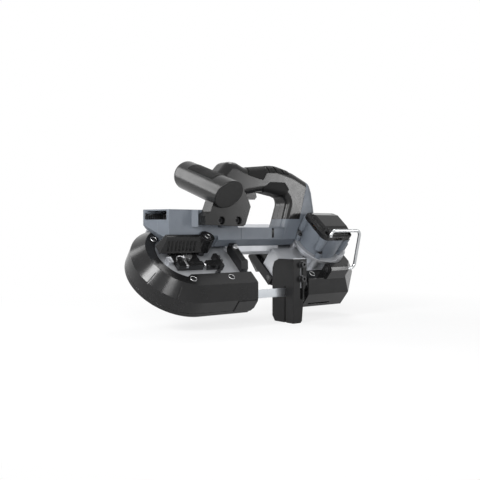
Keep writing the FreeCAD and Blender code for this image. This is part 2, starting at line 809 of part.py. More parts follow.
def tension_lever():
    tip = lever_pivot_u - lever_length
    back = lever_front + lever_depth
    foot, brow = lever_face()
    arm = prism_x([foot, brow, (back - lever_top_width, lever_top), (back, lever_top), (back, lever_bottom)],
                  tip, lever_pivot_u)
    arm = arm.cut(prism_y([(tip - 1, lever_bottom - 1), (tip, lever_bottom),
                           (tip + lever_tip_slant, lever_top),
                           (tip + lever_tip_slant, lever_top + 1), (tip - 1, lever_top + 1)],
                          lever_front - 1, back + 1))
    # Grip grooves that follow the lean of the front
    run = Vector(0, brow[0] - foot[0], brow[1] - foot[1])
    out = Vector(0, foot[1] - brow[1], brow[0] - foot[0]).normalize()
    low = Vector(0, foot[0], foot[1]) + run * 0.14
    high = Vector(0, foot[0], foot[1]) + run * 0.84
    corners = [low + out, high + out, high - out * lever_rib_depth, low - out * lever_rib_depth]
    groove = [(corner.y, corner.z) for corner in corners]
    for index in range(lever_ribs):
        start = tip + lever_tip_slant + lever_rib_start + (index - 0.5) * lever_rib_pitch
        arm = arm.cut(prism_x(groove, start, start + lever_rib_pitch / 2))
    crown = lever_top + lever_boss_rise
    lever = fuse([arm, disc(lever_boss_radius, lever_bottom, crown, lever_pivot_u, lever_pivot_d)])
    lever = lever.cut(disc(lever_pin_radius + running_fit, lever_bottom - 1, crown + 1, lever_pivot_u,
                           lever_pivot_d))
    lever = lever.cut(disc(lever_boss_radius - 3, crown - 2, crown + 1, lever_pivot_u, lever_pivot_d))
    return in_saw(lever)


def lever_pivot():
    crown = lever_top + lever_boss_rise
    collar = disc(lever_collar_radius, plate_top, lever_bottom - moving_gap, lever_pivot_u, lever_pivot_d)
    pin = disc(lever_pin_radius, plate_bottom + 2, crown - 1.5, lever_pivot_u, lever_pivot_d)
    head = disc(lever_boss_radius - 3.5, crown - 2 + moving_gap, crown - 0.4, lever_pivot_u, lever_pivot_d)
    return in_saw(fuse([collar, pin, head]))


def gear_outline(teeth, turn):
    # Involute teeth on the standard pitch circle, thinned by half the backlash
    pitch = gear_module * teeth / 2
    base = pitch * math.cos(math.radians(pressure_angle))
    tip = pitch + gear_module * tooth_addendum
    root = pitch - gear_module * tooth_dedendum
    half_tooth = (math.pi * gear_module / 2 - tooth_backlash) / 2 / pitch

    def involute(radius):
        if radius <= base:
            return 0.0
        alpha = math.acos(base / radius)
        return math.tan(alpha) - alpha
    half_base = half_tooth + involute(pitch)
    radii = (root, max(base, root + tooth_backlash), tip)
    points = []
    for tooth in range(teeth):
        centre = 2 * math.pi * (tooth + turn) / teeth
        flank = [(radius, half_base - involute(radius)) for radius in radii]
        for radius, half in flank:
            points.append((radius * math.cos(centre - half), radius * math.sin(centre - half)))
        for radius, half in reversed(flank):
            points.append((radius * math.cos(centre + half), radius * math.sin(centre + half)))
    return points


def gear(teeth, turn, u, low, bore):
    wheel_body = prism_z(gear_outline(teeth, turn), low, low + gear_width)
    wheel_body.translate(Vector(u, 0, 0))
    if bore:
        wheel_body = wheel_body.cut(disc(bore, low - 1, low + gear_width + 1, u))
    return wheel_body


def drive_wheel():
    return in_saw(wheel(half_spacing).cut(disc(drive_shaft_radius, -wheel_width, wheel_width * 2,
                                               half_spacing)))


def drive_shaft():
    shaft = disc(drive_shaft_radius, -wheel_width / 2, low_gear_n + gear_width, half_spacing)
    head = disc(drive_shaft_radius + 4, -wheel_width / 2 - 3, -wheel_width / 2, half_spacing)
    return in_saw(fuse([shaft, head]))


def drive_bearing():
    return in_saw(ring(drive_bearing_radius, drive_shaft_radius + running_fit, plate_bottom, plate_top,
                       half_spacing))


def output_gear():
    return in_saw(gear(gear_teeth, 0.0, half_spacing, low_gear_n, drive_shaft_radius))


def layshaft():
    shaft = disc(layshaft_radius, plate_bottom + 1.5, case_inside_top + case_wall / 2, lay_u)
    return in_saw(fuse([shaft, gear(pinion_teeth, 0.5, lay_u, low_gear_n, 0)]))


def layshaft_gear():
    return in_saw(gear(gear_teeth, 0.5, lay_u, high_gear_n, layshaft_radius))


def case_outline(reach, low, high):
    return fuse([disc(reach, low, high, half_spacing), disc(reach, low, high, lay_u),
                 box(half_spacing, lay_u, -reach, reach, low, high)])


def boss_places(circle, angles):
    return [(half_spacing + circle * math.cos(math.radians(a)),
             circle * math.sin(math.radians(a))) for a in angles]


def gearbox_housing():
    case = case_outline(case_reach, plate_top, case_top)
    flange = disc(case_flange_radius, case_top - case_flange_height, case_top, half_spacing)
    feet = [disc(motor_boss_radius + 0.5, plate_top, case_top, u, d)
            for u, d in boss_places(motor_boss_circle, motor_boss_angles)]
    case = fuse([case, flange] + feet)
    case = case.cut(case_outline(case_reach - case_wall, plate_top - 1, case_inside_top))
    case = case.cut(disc(motor_bearing_radius, case_inside_top - 1, case_top + 1, half_spacing))
    case = case.cut(disc(layshaft_radius + running_fit, case_inside_top - 1, case_top - 1, lay_u))
    for u, d in boss_places(motor_boss_circle, motor_boss_angles):
        case = case.cut(disc(screw_head_radius / 2, case_top - 4, case_top + 1, u, d))
    return in_saw(case)


def motor_housing():
    shell = disc(motor_radius, case_top, motor_top, half_spacing)
    outlet = box(half_spacing, half_spacing + outlet_reach, -outlet_half_width, outlet_half_width,
                 case_top + 2, case_top + 2 + outlet_height)
    outlet = outlet.cut(prism_y([(half_spacing + outlet_reach + 1, case_top + outlet_height - 6),
                                 (half_spacing + outlet_reach + 1, case_top + outlet_height + 4),
                                 (half_spacing + outlet_reach - 10, case_top + outlet_height + 4)],
                                -motor_radius, motor_radius))
    low = [disc(motor_boss_radius, case_top, case_top + motor_boss_height, u, d)
           for u, d in boss_places(motor_boss_circle, motor_boss_angles)]
    high = [disc(cap_column_radius, motor_top - cap_column_length, motor_top, u, d)
            for u, d in boss_places(cap_boss_circle, cap_boss_angles)]
    shell = fuse([shell, outlet] + low + high)
    shell = shell.cut(disc(motor_radius - motor_wall, case_top - 1, motor_top + 1, half_spacing))
    for u, d in boss_places(motor_boss_circle, motor_boss_angles):
        shell = shell.cut(disc(screw_head_radius / 2, case_top - 1, case_top + motor_boss_height + 1, u, d))
    for u, d in boss_places(cap_boss_circle, cap_boss_angles):
        shell = shell.cut(disc(screw_head_radius / 2, motor_top - cap_screw_depth, motor_top + 1, u, d))
    # Slotted outlet in the end of the side box
    for index in range(3):
        low_n = case_top + 5 + index * 4.5
        shell = shell.cut(box(half_spacing + outlet_reach - 6, half_spacing + outlet_reach + 1,
                              -outlet_half_width + 4, outlet_half_width - 4, low_n, low_n + 2))
    return in_saw(shell)


def motor_end_cap():
    # Square foot with round corners that narrows over four slopes to a flat plate
    knee = motor_top + cap_straight
    left = half_spacing - cap_half
    right = half_spacing + cap_half
    half_length = cap_plate_length / 2
    half_width = cap_plate_width / 2
    cap = box(left, right, -cap_half, cap_half, motor_top, cap_top)
    cap = cap.makeFillet(cap_corner,
                         [edge for edge in cap.Edges if edge.BoundBox.ZLength > cap_length - 0.01])
    cap = cap.common(prism_x([(-cap_half, motor_top), (-cap_half, knee), (-half_width, cap_top),
                              (half_width, cap_top), (cap_half, knee), (cap_half, motor_top)], left, right))
    cap = cap.common(prism_y([(left, motor_top), (left, knee), (half_spacing - half_length, cap_top),
                              (half_spacing + half_length, cap_top), (right, knee), (right, motor_top)],
                             -cap_half, cap_half))
    roof = motor_top + cap_straight - motor_wall / 2
    cap = cap.cut(disc(cap_half - motor_wall, motor_top - 1, roof, half_spacing))
    cap = cap.cut(disc(motor_bearing_radius, roof - 1, cap_top - motor_wall, half_spacing))
    for u, d in boss_places(cap_boss_circle, cap_boss_angles):
        cap = cap.cut(disc(screw_head_radius / 2, motor_top - 1, cap_top, u, d))
        cap = cap.cut(disc(screw_head_radius + moving_gap, motor_top + cap_boss_height, cap_top, u, d))
    # Intake slots round the foot, between the screws
    for angle in vent_angles:
        for offset in (-vent_spread, 0.0, vent_spread):
            slot = box(cap_half - 2 * motor_wall, cap_half + 3, -vent_width / 2, vent_width / 2,
                       motor_top + 1.5, roof)
            slot.rotate(Vector(0, 0, 0), Vector(0, 0, 1), angle + offset)
            slot.translate(Vector(half_spacing, 0, 0))
            cap = cap.cut(slot)
    return in_saw(cap)


def motor_screws():
    places = [(place, case_top + motor_boss_height, case_top - 4)
              for place in boss_places(motor_boss_circle, motor_boss_angles)]
    places += [(place, motor_top + cap_boss_height, motor_top - cap_screw_depth)
               for place in boss_places(cap_boss_circle, cap_boss_angles)]
    screws = []
    for (u, d), seat, foot in places:
        head = disc(screw_head_radius, seat, seat + screw_head_height, u, d)
        shank = disc(screw_head_radius / 2, foot, seat, u, d)
        screws.append(in_saw(fuse([head, shank])))
    return group(screws)


def stator():
    low = case_top + stator_lift
    return in_saw(ring(motor_radius - motor_wall, rotor_radius + stator_gap, low, low + stator_length,
                       half_spacing))


def rotor():
    low = case_top + stator_lift
    magnets = disc(rotor_radius, low + 1, low + stator_length - 1, half_spacing)
    shaft = disc(motor_shaft_radius, low_gear_n + gear_width + gear_spacing / 2, cap_top - motor_wall - 0.5,
                 half_spacing)
    return in_saw(fuse([magnets, shaft]))


def motor_pinion():
    return in_saw(gear(pinion_teeth, 0.0, half_spacing, high_gear_n, motor_shaft_radius))


def motor_bearings():
    bore = motor_shaft_radius + running_fit
    return [in_saw(ring(motor_bearing_radius, bore, low, low + motor_bearing_width, half_spacing))
            for low in (case_inside_top, cap_top - motor_wall - motor_bearing_width)]


def guide_block(x):
    # Upright block under the tilted plate, slotted for the back roller
    half = guide_block_length / 2
    side = guide_block_depth / 2
    low = blade_width / 2 + 1.5

    def under_plate(y):
        return (plate_bottom + y * math.sin(tilt_rad)) / math.cos(tilt_rad)
    block = prism_x([(-side, low), (side, low), (side, under_plate(side)), (-side, under_plate(-side))],
                    x - half, x + half)
    slot = box(x - guide_roller_radius - 1, x + guide_roller_radius + 1, -2.5, 2.5, low - 1,
               blade_width / 2 + 2 * guide_roller_radius + 1.5)
    block = block.cut(slot)
    for y in (-roller_reach(), roller_reach()):
        block = block.cut(Part.makeCylinder(guide_pin_radius, side_pin_seat + 1, Vector(x, y, low - 1)))
    start = Vector(x, -back_pin_length / 2, back_roller_z())
    return block.cut(Part.makeCylinder(guide_pin_radius, back_pin_length, start, Vector(0, 1, 0)))


def back_roller_z():
    return blade_width / 2 + roller_blade_gap + guide_roller_radius


def side_roller(x, y):
    roller = Part.makeCylinder(guide_roller_radius, guide_roller_height,
                               Vector(x, y, -guide_roller_height / 2))
    return roller.cut(Part.makeCylinder(guide_pin_radius + running_fit, 2 * guide_roller_height,
                                        Vector(x, y, -guide_roller_height)))


def back_roller(x):
    height = back_roller_z()
    roller = Part.makeCylinder(guide_roller_radius, 4.0, Vector(x, -2.0, height), Vector(0, 1, 0))
    bore = guide_pin_radius + running_fit
    return roller.cut(Part.makeCylinder(bore, 8.0, Vector(x, -4.0, height), Vector(0, 1, 0)))


def guide_pins(x):
    low = blade_width / 2 + 1.5
    foot_z = -guide_roller_height / 2 - 1
    pins = []
    for y in (-roller_reach(), roller_reach()):
        pin = Part.makeCylinder(guide_pin_radius, low + side_pin_seat - foot_z, Vector(x, y, foot_z))
        foot = Part.makeCylinder(guide_pin_radius + 1, 0.8, Vector(x, y, foot_z))
        pins.append(fuse([pin, foot]))
    start = Vector(x, -back_pin_length / 2, back_roller_z())
    pins.append(Part.makeCylinder(guide_pin_radius, back_pin_length, start, Vector(0, 1, 0)))
    return pins


def rear_guide_arm():
    right = arm_left + arm_width
    wall = box(arm_left, right, arm_front, arm_back, arm_bottom, throat_wall_bottom)
    root = box(throat_right + frame_wall, right, arm_front, arm_back - 8, throat_wall_bottom, plate_bottom)
    nose = prism_x([(arm_front, arm_bottom), (arm_front, throat_wall_bottom),
                    (arm_front - 9, throat_wall_bottom),
                    (arm_front - 9, arm_bottom + 6)], throat_right, right)
    arm = fuse([wall, root, nose])
    lamp_hole = Part.makeCylinder(lamp_radius, 3, Vector(arm_left - 0.5, lamp_d, lamp_n), Vector(1, 0, 0))
    return in_saw(arm.cut(lamp_hole))


def led_lamp():
    lens = Part.makeCylinder(lamp_radius, 2.3, Vector(arm_left + 0.2, lamp_d, lamp_n), Vector(1, 0, 0))
    return in_saw(lens)


def work_stop():
    # Angle plate: the side that the work meets, and the slotted front that the screws hold
    inside = stop_face + stop_thickness
    foot_right = stop_face + stop_foot_width
    plate = prism_x([(stop_front, stop_bottom), (stop_front, stop_top), (stop_back - stop_corner, stop_top),
                     (stop_back - stop_corner * 0.3, stop_top - stop_corner * 0.3),
                     (stop_back, stop_top - stop_corner), (stop_back, stop_bottom + 8),
                     (stop_back - 6, stop_bottom)], stop_face, inside)
    front = prism_y([(stop_face, stop_bottom), (stop_face, stop_top), (stop_face + stop_width, stop_top),
                     (stop_face + stop_width, stop_step), (foot_right + 4, stop_step - 8),
                     (foot_right, stop_bottom + 3), (foot_right - 3, stop_bottom)],
                    stop_front, stop_front + stop_thickness)
    stop = fuse([plate, front])
    stop = stop.cut(box(stop_face - 1, inside + 1, -stop_blade_slot / 2, stop_blade_slot / 2,
                        stop_bottom - 1, stop_blade_room))
    half = stop_slot_width / 2
    slot_low = min(stop_screw_heights) - stop_travel - seat_gap
    slot_high = max(stop_screw_heights) + seat_gap
    ends = [Part.makeCylinder(half, stop_thickness + 2, Vector(stop_slot_centre, stop_front - 1, z),
                              Vector(0, 1, 0))
            for z in (slot_low, slot_high)]
    straight = box(stop_slot_centre - half, stop_slot_centre + half, stop_front - 1,
                   stop_front + stop_thickness + 1, slot_low, slot_high)
    return stop.cut(fuse([straight] + ends))


def stop_screws():
    screws = []
    back = Vector(0, 1, 0)
    for z in stop_screw_heights:
        seat = Vector(stop_slot_centre, stop_front - seat_gap, z)
        washer = Part.makeCylinder(stop_head_radius + 1.2, 1.0, seat, back * -1)
        head = Part.makeCylinder(stop_head_radius, stop_head_height, seat - back, back * -1)
        socket = Part.makeCylinder(stop_head_radius / 2, 3, seat - back * (1 + stop_head_height), back)
        shank = Part.makeCylinder(stop_screw_radius, stop_screw_length, seat, back)
        screws.append(fuse([head, washer, shank]).cut(socket))
    return group(screws)


def hook_axis():
    return loop_point(0, hook_d, hook_n)


def hook_block():
    # Chamfered block on the rear guard, bored for the wire
    half = hook_block_half
    edge = half - hook_block_chamfer
    right = hook_block_left + hook_block_length
    block = prism_x([(hook_d - half, guard_top), (hook_d - half, hook_n + edge),
                     (hook_d - edge, hook_n + half),
                     (hook_d + edge, hook_n + half), (hook_d + half, hook_n + edge),
                     (hook_d + half, guard_top)],
                    hook_block_left, right)
    bore = Part.makeCylinder(hook_wire / 2 + running_fit, hook_block_length + 2,
                             Vector(hook_block_left - 1, hook_d, hook_n), Vector(1, 0, 0))
    return in_saw(block.cut(bore))


def hang_hook():
    centre = hook_axis()
    right = hook_block_left + hook_block_length + hook_end_gap + hook_bend / 2
    lean = math.radians(hook_lean)
    top = Vector(0, -hook_leg * math.sin(lean), hook_leg * math.cos(lean))
    corner = Vector(right, centre.y, centre.z)
    across = Vector(-hook_reach, 0, 0)
    points = [Vector(hook_block_left, centre.y, centre.z), corner, corner + top, corner + top + across,
              corner + top * (1 - hook_tail / hook_leg) + across]
    return tube(points, hook_wire, hook_bend)


def handle_outline():
    # Outer line of the D-handle and its columns, as (x, z, corner radius)
    foot = beam_top - 30.0
    front = hole_left - 38.0
    return [(front, foot, 14), (front + 4, grip_top - 14, 16), (front + 21, grip_top + 4, 14),
            (front + 36, grip_top + 3, 14), (hole_left + hole_span * 0.17, grip_top - 4, hole_span * 0.3),
            (hole_left + hole_span * 0.84, grip_top + 2, hole_span * 0.74),
            (hole_right + 25, grip_top - 7, 40), (body_right - 12, grip_top - 22, 14),
            (body_right - 6, grip_top - 37, 14), (body_right, grip_top - 69, 20), (body_right, foot, 14)]


def hole_outline():
    top_right = hole_right + (grip_bottom - beam_top) * column_lean
    return [(hole_left, beam_top, 4), (hole_left + 8, grip_bottom - 3, 10),
            ((hole_left + top_right) / 2, grip_bottom + 4, hole_span * 0.74),
            (top_right - 3, grip_bottom - 4, 12),
            (hole_right, beam_top, 4)]


def flat_edges(solid):
    return [edge for edge in solid.Edges if edge.BoundBox.YLength < 0.01]


def handle_solid(grow):
    # D-shaped slab with rounded edges, its hole rounded too, cut off at the top of the beam
    front = body_front - grow
    depth = Vector(0, handle_depth + 2 * grow, 0)
    outer = Part.Face(rounded_wire(handle_outline(), front))
    inner = Part.Face(rounded_wire(hole_outline(), front))
    if grow:
        outer = Part.Face(outer.OuterWire.makeOffset2D(grow))
        inner = Part.Face(inner.OuterWire.makeOffset2D(-grow))
    solid = outer.extrude(depth)
    solid = solid.makeFillet(handle_edge, flat_edges(solid))
    hole = inner.extrude(depth)
    solid = solid.cut(hole)
    room = hole.BoundBox
    rim = [edge for edge in flat_edges(solid) if edge.BoundBox.XMin > room.XMin - 0.1
           and edge.BoundBox.XMax < room.XMax + 0.1 and edge.BoundBox.ZMin > room.ZMin - 0.1
           and edge.BoundBox.ZMax < room.ZMax + 0.1]
    solid = solid.makeFillet(hole_edge, rim)
    return solid.common(box(-far, far, 0, far, beam_top, far))


def grey_region():
    # What of the handle belongs to the grey body: below the joint line and the spine at the back
    low = beam_top - 5
    left = hole_left - 60
    right = body_right + 20
    top = grip_top + 20
    return prism_y([(left, low), (left, spine_foot), (body_right - 36, spine_foot),
                    (body_right - 22, grip_top - 27),
                    (body_right - 16, top), (right, top), (right, low)], body_front - 5, body_back + 5)


def body_section(top, skirt):
    # Beam section in Y and Z: upright front, undercut to the ledge, foot on the tilted plate
    corner = loop_point(0, beam_front, plate_top)
    ledge_z = corner.z + ledge_height
    ledge_back = corner.y + ledge_height / math.tan(tilt_rad)
    back_z = (plate_top + body_back * math.sin(tilt_rad)) / math.cos(tilt_rad)
    return [(body_front, skirt), (body_front, top), (body_back, top), (body_back, back_z),
            (ledge_back, ledge_z), (corner.y, ledge_z)]


def body_solid():
    beam = prism_x(body_section(beam_top, beam_skirt), block_right, body_right)
    block = prism_x(body_section(block_top, block_skirt), block_left - dock_slant, block_right)
    wedge_right = bracket_left - moving_gap
    wedge = prism_z([(wedge_right - wedge_width, body_front), (wedge_right, body_front - wedge_rise),
                     (wedge_right, body_front)], bracket_foot - 1, block_top - 0.6)
    body = fuse([beam, block, wedge])
    # Slanted dock end, then the chamfer under it
    reach = body_back - body_front
    mouth = block_left - dock_slant
    body = body.cut(prism_z([(mouth - far, body_front - 1), (block_left, body_front - 1),
                             (block_left - dock_slant * (reach + 2) / reach, body_back + 1),
                             (mouth - far, body_back + 1)], 0, far))
    body = body.cut(prism_y([(mouth - 1, block_skirt - 24), (mouth - 1, block_skirt + 16),
                             (block_left + 14, block_skirt - 24)], 0, far))
    pocket = box(mouth - 1, block_left + dock_depth, body_front + dock_wall, body_back - dock_wall,
                 dock_floor, dock_floor + dock_height)
    body = body.cut(pocket)
    # Shallow panel and slot in the front of the beam, under the back of the hand hole
    panel_left = hole_right - panel_length * 0.75
    body = body.cut(box(panel_left, panel_left + panel_length, body_front - 1, body_front + panel_depth,
                        beam_skirt + 1.5, beam_top - 0.8))
    body = body.cut(box(panel_left - slot_width, panel_left, body_front - 1, body_front + slot_depth,
                        beam_skirt + 1.5, beam_top - 0.8))
    body = fuse([body, handle_solid(0).common(grey_region())])
    # Room for the guard, the lever, the gear case and the motor
    room = ring(guard_reach + 8, guard_strip - 1, guard_bottom, guard_top + 0.5, -half_spacing)
    body = body.cut(in_saw(room.common(box(-far, -half_spacing + 40, -far, far, -far, far))))
    body = body.cut(in_saw(disc(lever_boss_radius + lever_room, plate_top,
                                lever_top + lever_boss_rise + lever_room,
                                lever_pivot_u, lever_pivot_d)))
    body = body.cut(in_saw(case_outline(case_reach + 0.5, 0, case_top + 1)))
    body = body.cut(in_saw(disc(case_flange_radius + 0.8, 0, cap_top + 40, half_spacing)))
    body = body.cut(front_handle_core())
    return body


def body_half(low, high):
    half = body_solid().common(box(-far, far, low, high, 0, far))
    pocket = box(hole_left + 8, hole_left + 9 + board_length, body_front + 6, body_back - 8,
                 beam_skirt + shell_floor, beam_top - shell_floor)
    return half.cut(pocket)


def handle_half(low, high):
    handle = handle_solid(0).cut(grey_region()).cut(front_handle_core())
    handle = handle.cut(trigger_room()).cut(switch_room())
    return handle.common(box(-far, far, low, high, 0, far))


def trigger_pivot():
    return Vector(trigger_front, handle_mid, grip_bottom + 3)


def trigger_room():
    half = trigger_width / 2 + 0.6
    return box(trigger_front - 5, trigger_front + trigger_length + 2, handle_mid - half, handle_mid + half,
               grip_bottom - 20, grip_bottom + 8)


def switch_room():
    half = trigger_width / 2 + 0.6
    return box(trigger_front + 2, trigger_front + trigger_length + 22, handle_mid - half, handle_mid + half,
               grip_bottom + 8, grip_bottom + 24)


def trigger():
    half = trigger_width / 2
    pivot = trigger_pivot()
    shape = prism_y([(trigger_front - 3, grip_bottom + 5), (trigger_front - 3, grip_bottom + 1),
                     (trigger_front + 4, grip_bottom - trigger_drop + 2),
                     (trigger_front + trigger_length - 4, grip_bottom - trigger_drop),
                     (trigger_front + trigger_length, grip_bottom - trigger_drop + 4),
                     (trigger_front + trigger_length - 2, grip_bottom + 2.5)], handle_mid - half,
                     handle_mid + half)
    return shape.cut(Part.makeCylinder(1.5 + running_fit, trigger_width + 2,
                                       Vector(pivot.x, pivot.y - half - 1, pivot.z),
                                       Vector(0, 1, 0)))


def trigger_pin():
    pivot = trigger_pivot()
    half = trigger_width / 2 + 0.6
    return Part.makeCylinder(1.5, 2 * half, Vector(pivot.x, pivot.y - half, pivot.z), Vector(0, 1, 0))


def switch_module():
    half = trigger_width / 2 + 0.4
    left = trigger_front + 2.2
    return box(left, left + trigger_length + 19.6, handle_mid - half, handle_mid + half,
               grip_bottom + 8.2, grip_bottom + 23.8)


def grip_pads():
    skin = handle_solid(pad_rise).cut(handle_solid(0)).cut(front_handle_core()).cut(grey_region())
    # Outlines as shares of the hand hole's length and heights from the top of the grip
    thumb = [(0.20, -15), (0.25, 9), (0.59, 9), (0.64, -9), (0.54, -21)]
    chevrons = [[(low, -9.5), (low - 0.05, 9), (low + 0.09, 9), (low + 0.14, -9.5)]
                for low in (0.69, 0.865, 1.04)]
    palm = [(0.54, -33), (0.72, -23), (1.06, -23), (1.16, -33), (1.06, -46), (0.67, -46)]
    pads = []
    for shares in [thumb] + chevrons + [palm]:
        outline = [(hole_left + share * hole_span, grip_top + rise) for share, rise in shares]
        for low, high in ((body_front - 5, handle_mid - 0.5), (handle_mid + 0.5, body_back + 5)):
            for solid in skin.common(prism_y(outline, low, high)).Solids:
                pads.append(solid)
    return group(pads)


def control_board():
    floor = beam_skirt + shell_floor
    return box(hole_left + 8.5, hole_left + 8.5 + board_length, body_front + 8, body_back - 10, floor,
               floor + 1.6)


def terminal_block():
    y_mid = (body_front + body_back) / 2
    back = block_left + dock_depth
    top = dock_floor + dock_height * 0.7
    block = box(back - 20, back, y_mid - 13, y_mid + 13, dock_floor, top)
    for offset in (-7.0, 0.0, 7.0):
        block = block.cut(box(back - 21, back - 8, y_mid + offset - 1, y_mid + offset + 1, dock_floor + 3,
                              top + 1))
    return block


def body_screws():
    screws = []
    back = Vector(0, 1, 0)
    low = (beam_top + body_section(beam_top, beam_skirt)[3][1]) / 2
    places = [(block_left + 17, block_top - 6), (block_right - 34, block_top - 6),
              (hole_left + 48, low), (hole_right + 17, low)]
    for x, z in places:
        screws.append(Part.makeCylinder(screw_head_radius, screw_head_height, Vector(x, body_back, z), back))
    return group(screws)


def pill_place():
    return Placement(Vector(pill_x, pill_face_y, pill_face_z), Rotation(Vector(1, 0, 0), pill_lean - 90))


def front_handle_core():
    # Turned about its own axis with a domed end, then cut off square to the loop's front
    hub = pill_radius - pill_end_round
    turn = math.radians(pill_end_angle)
    dome_radius = pill_end_round + hub / math.sin(turn)
    dome_centre = pill_length - dome_radius
    corner = dome_centre + hub / math.tan(turn)

    def on_corner(angle):
        return Vector(hub + pill_end_round * math.sin(angle), 0, corner + pill_end_round * math.cos(angle))

    def on_dome(angle):
        return Vector(dome_radius * math.sin(angle), 0, dome_centre + dome_radius * math.cos(angle))
    start = Vector(0, 0, -pill_radius)
    rim = Vector(pill_radius, 0, -pill_radius)
    edges = [Part.LineSegment(start, rim).toShape(),
             Part.LineSegment(rim, on_corner(math.pi / 2)).toShape(),
             Part.Arc(on_corner(math.pi / 2), on_corner((math.pi / 2 + turn) / 2),
                      on_corner(turn)).toShape(),
             Part.Arc(on_dome(turn), on_dome(turn / 2), on_dome(0)).toShape(),
             Part.LineSegment(on_dome(0), start).toShape()]
    core = Part.Face(Part.Wire(edges)).revolve(Vector(0, 0, 0), Vector(0, 0, 1), 360)
    core.Placement = pill_place()
    face_d = loop_place.inverse().multVec(Vector(pill_x, pill_face_y, pill_face_z)).y
    reach = 4 * pill_radius
    core = core.cut(in_saw(box(pill_x - reach, pill_x + reach, face_d - reach, face_d, 0, 3 * pill_length)))
    rims = [edge for edge in core.Edges
            if all(abs(loop_place.inverse().multVec(edge.valueAt(at)).y - face_d) < 0.01
                   for at in (edge.FirstParameter, (edge.FirstParameter + edge.LastParameter) / 2))]
    return core.makeFillet(pill_face_edge, rims)


def pill_pad_room(top):
    # Curved strip on the upper side, turned a little to the front, in the saw's frame
    end = pill_pad_start + pill_pad_length
    half = pill_pad_width / 2
    strip = ring(top, pill_radius - pill_pad_depth, pill_pad_start, end)
    strip = strip.common(box(-half, half, -2 * pill_radius, 0, pill_pad_start, end))
    strip.rotate(Vector(0, 0, 0), Vector(0, 0, 1), pill_pad_turn)
    strip.Placement = pill_place().multiply(strip.Placement)
    return strip


def front_handle():
    return front_handle_core().cut(pill_pad_room(pill_radius + 1))


def front_handle_pad():
    pad = pill_pad_room(pill_radius + pill_pad_rise)
    pitch = pill_pad_length / pill_pad_ribs
    for index in range(pill_pad_ribs):
        low = pill_pad_start + (index + 0.35) * pitch
        groove = ring(pill_radius + 2, pill_radius - 0.5, low, low + pitch * 0.3)
        groove.Placement = pill_place()
        pad = pad.cut(groove)
    return pad


def front_handle_bracket():
    top = pill_face_z + 10
    lobe = bracket_foot + bracket_lobe
    face = [(bracket_left, bracket_foot + 2), (bracket_left, lobe), (bracket_left + 8, lobe + 5),
            (bracket_left + 14, lobe + 20), (pill_x - 10, top), (pill_x + 34, top + 2),
            (bracket_right - 6, pill_face_z), (bracket_right, bracket_foot + 28),
            (bracket_right - 9, bracket_foot + 3), (bracket_right - 13, bracket_foot)]
    bracket = prism_y(face, bracket_front, body_front).cut(front_handle_core())
    back = Vector(0, 1, 0)
    for x in bracket_screw_x:
        mouth = Vector(x, bracket_front, bracket_screw_z)
        bracket = bracket.cut(Part.makeCylinder(bracket_screw_radius, bracket_screw_depth, mouth, back))
        bracket = bracket.cut(Part.makeCylinder(bracket_screw_radius / 2, body_front - bracket_front,
                                                mouth, back))
    return bracket


def bracket_screws():
    screws = []
    back = Vector(0, 1, 0)
    for x in bracket_screw_x:
        seat = Vector(x, bracket_front + bracket_screw_depth, bracket_screw_z)
        head = Part.makeCylinder(bracket_screw_radius - 0.5, bracket_screw_head, seat, back * -1)
        socket = Part.makeCylinder(bracket_screw_radius / 2.3, 2, seat - back * bracket_screw_head, back)
        shank = Part.makeCylinder(bracket_screw_radius / 2, body_front - seat.y, seat, back)
        screws.append(fuse([head, shank]).cut(socket))
    return group(screws)


def roller_reach():
    return blade_thickness / 2 + roller_blade_gap + guide_roller_radius


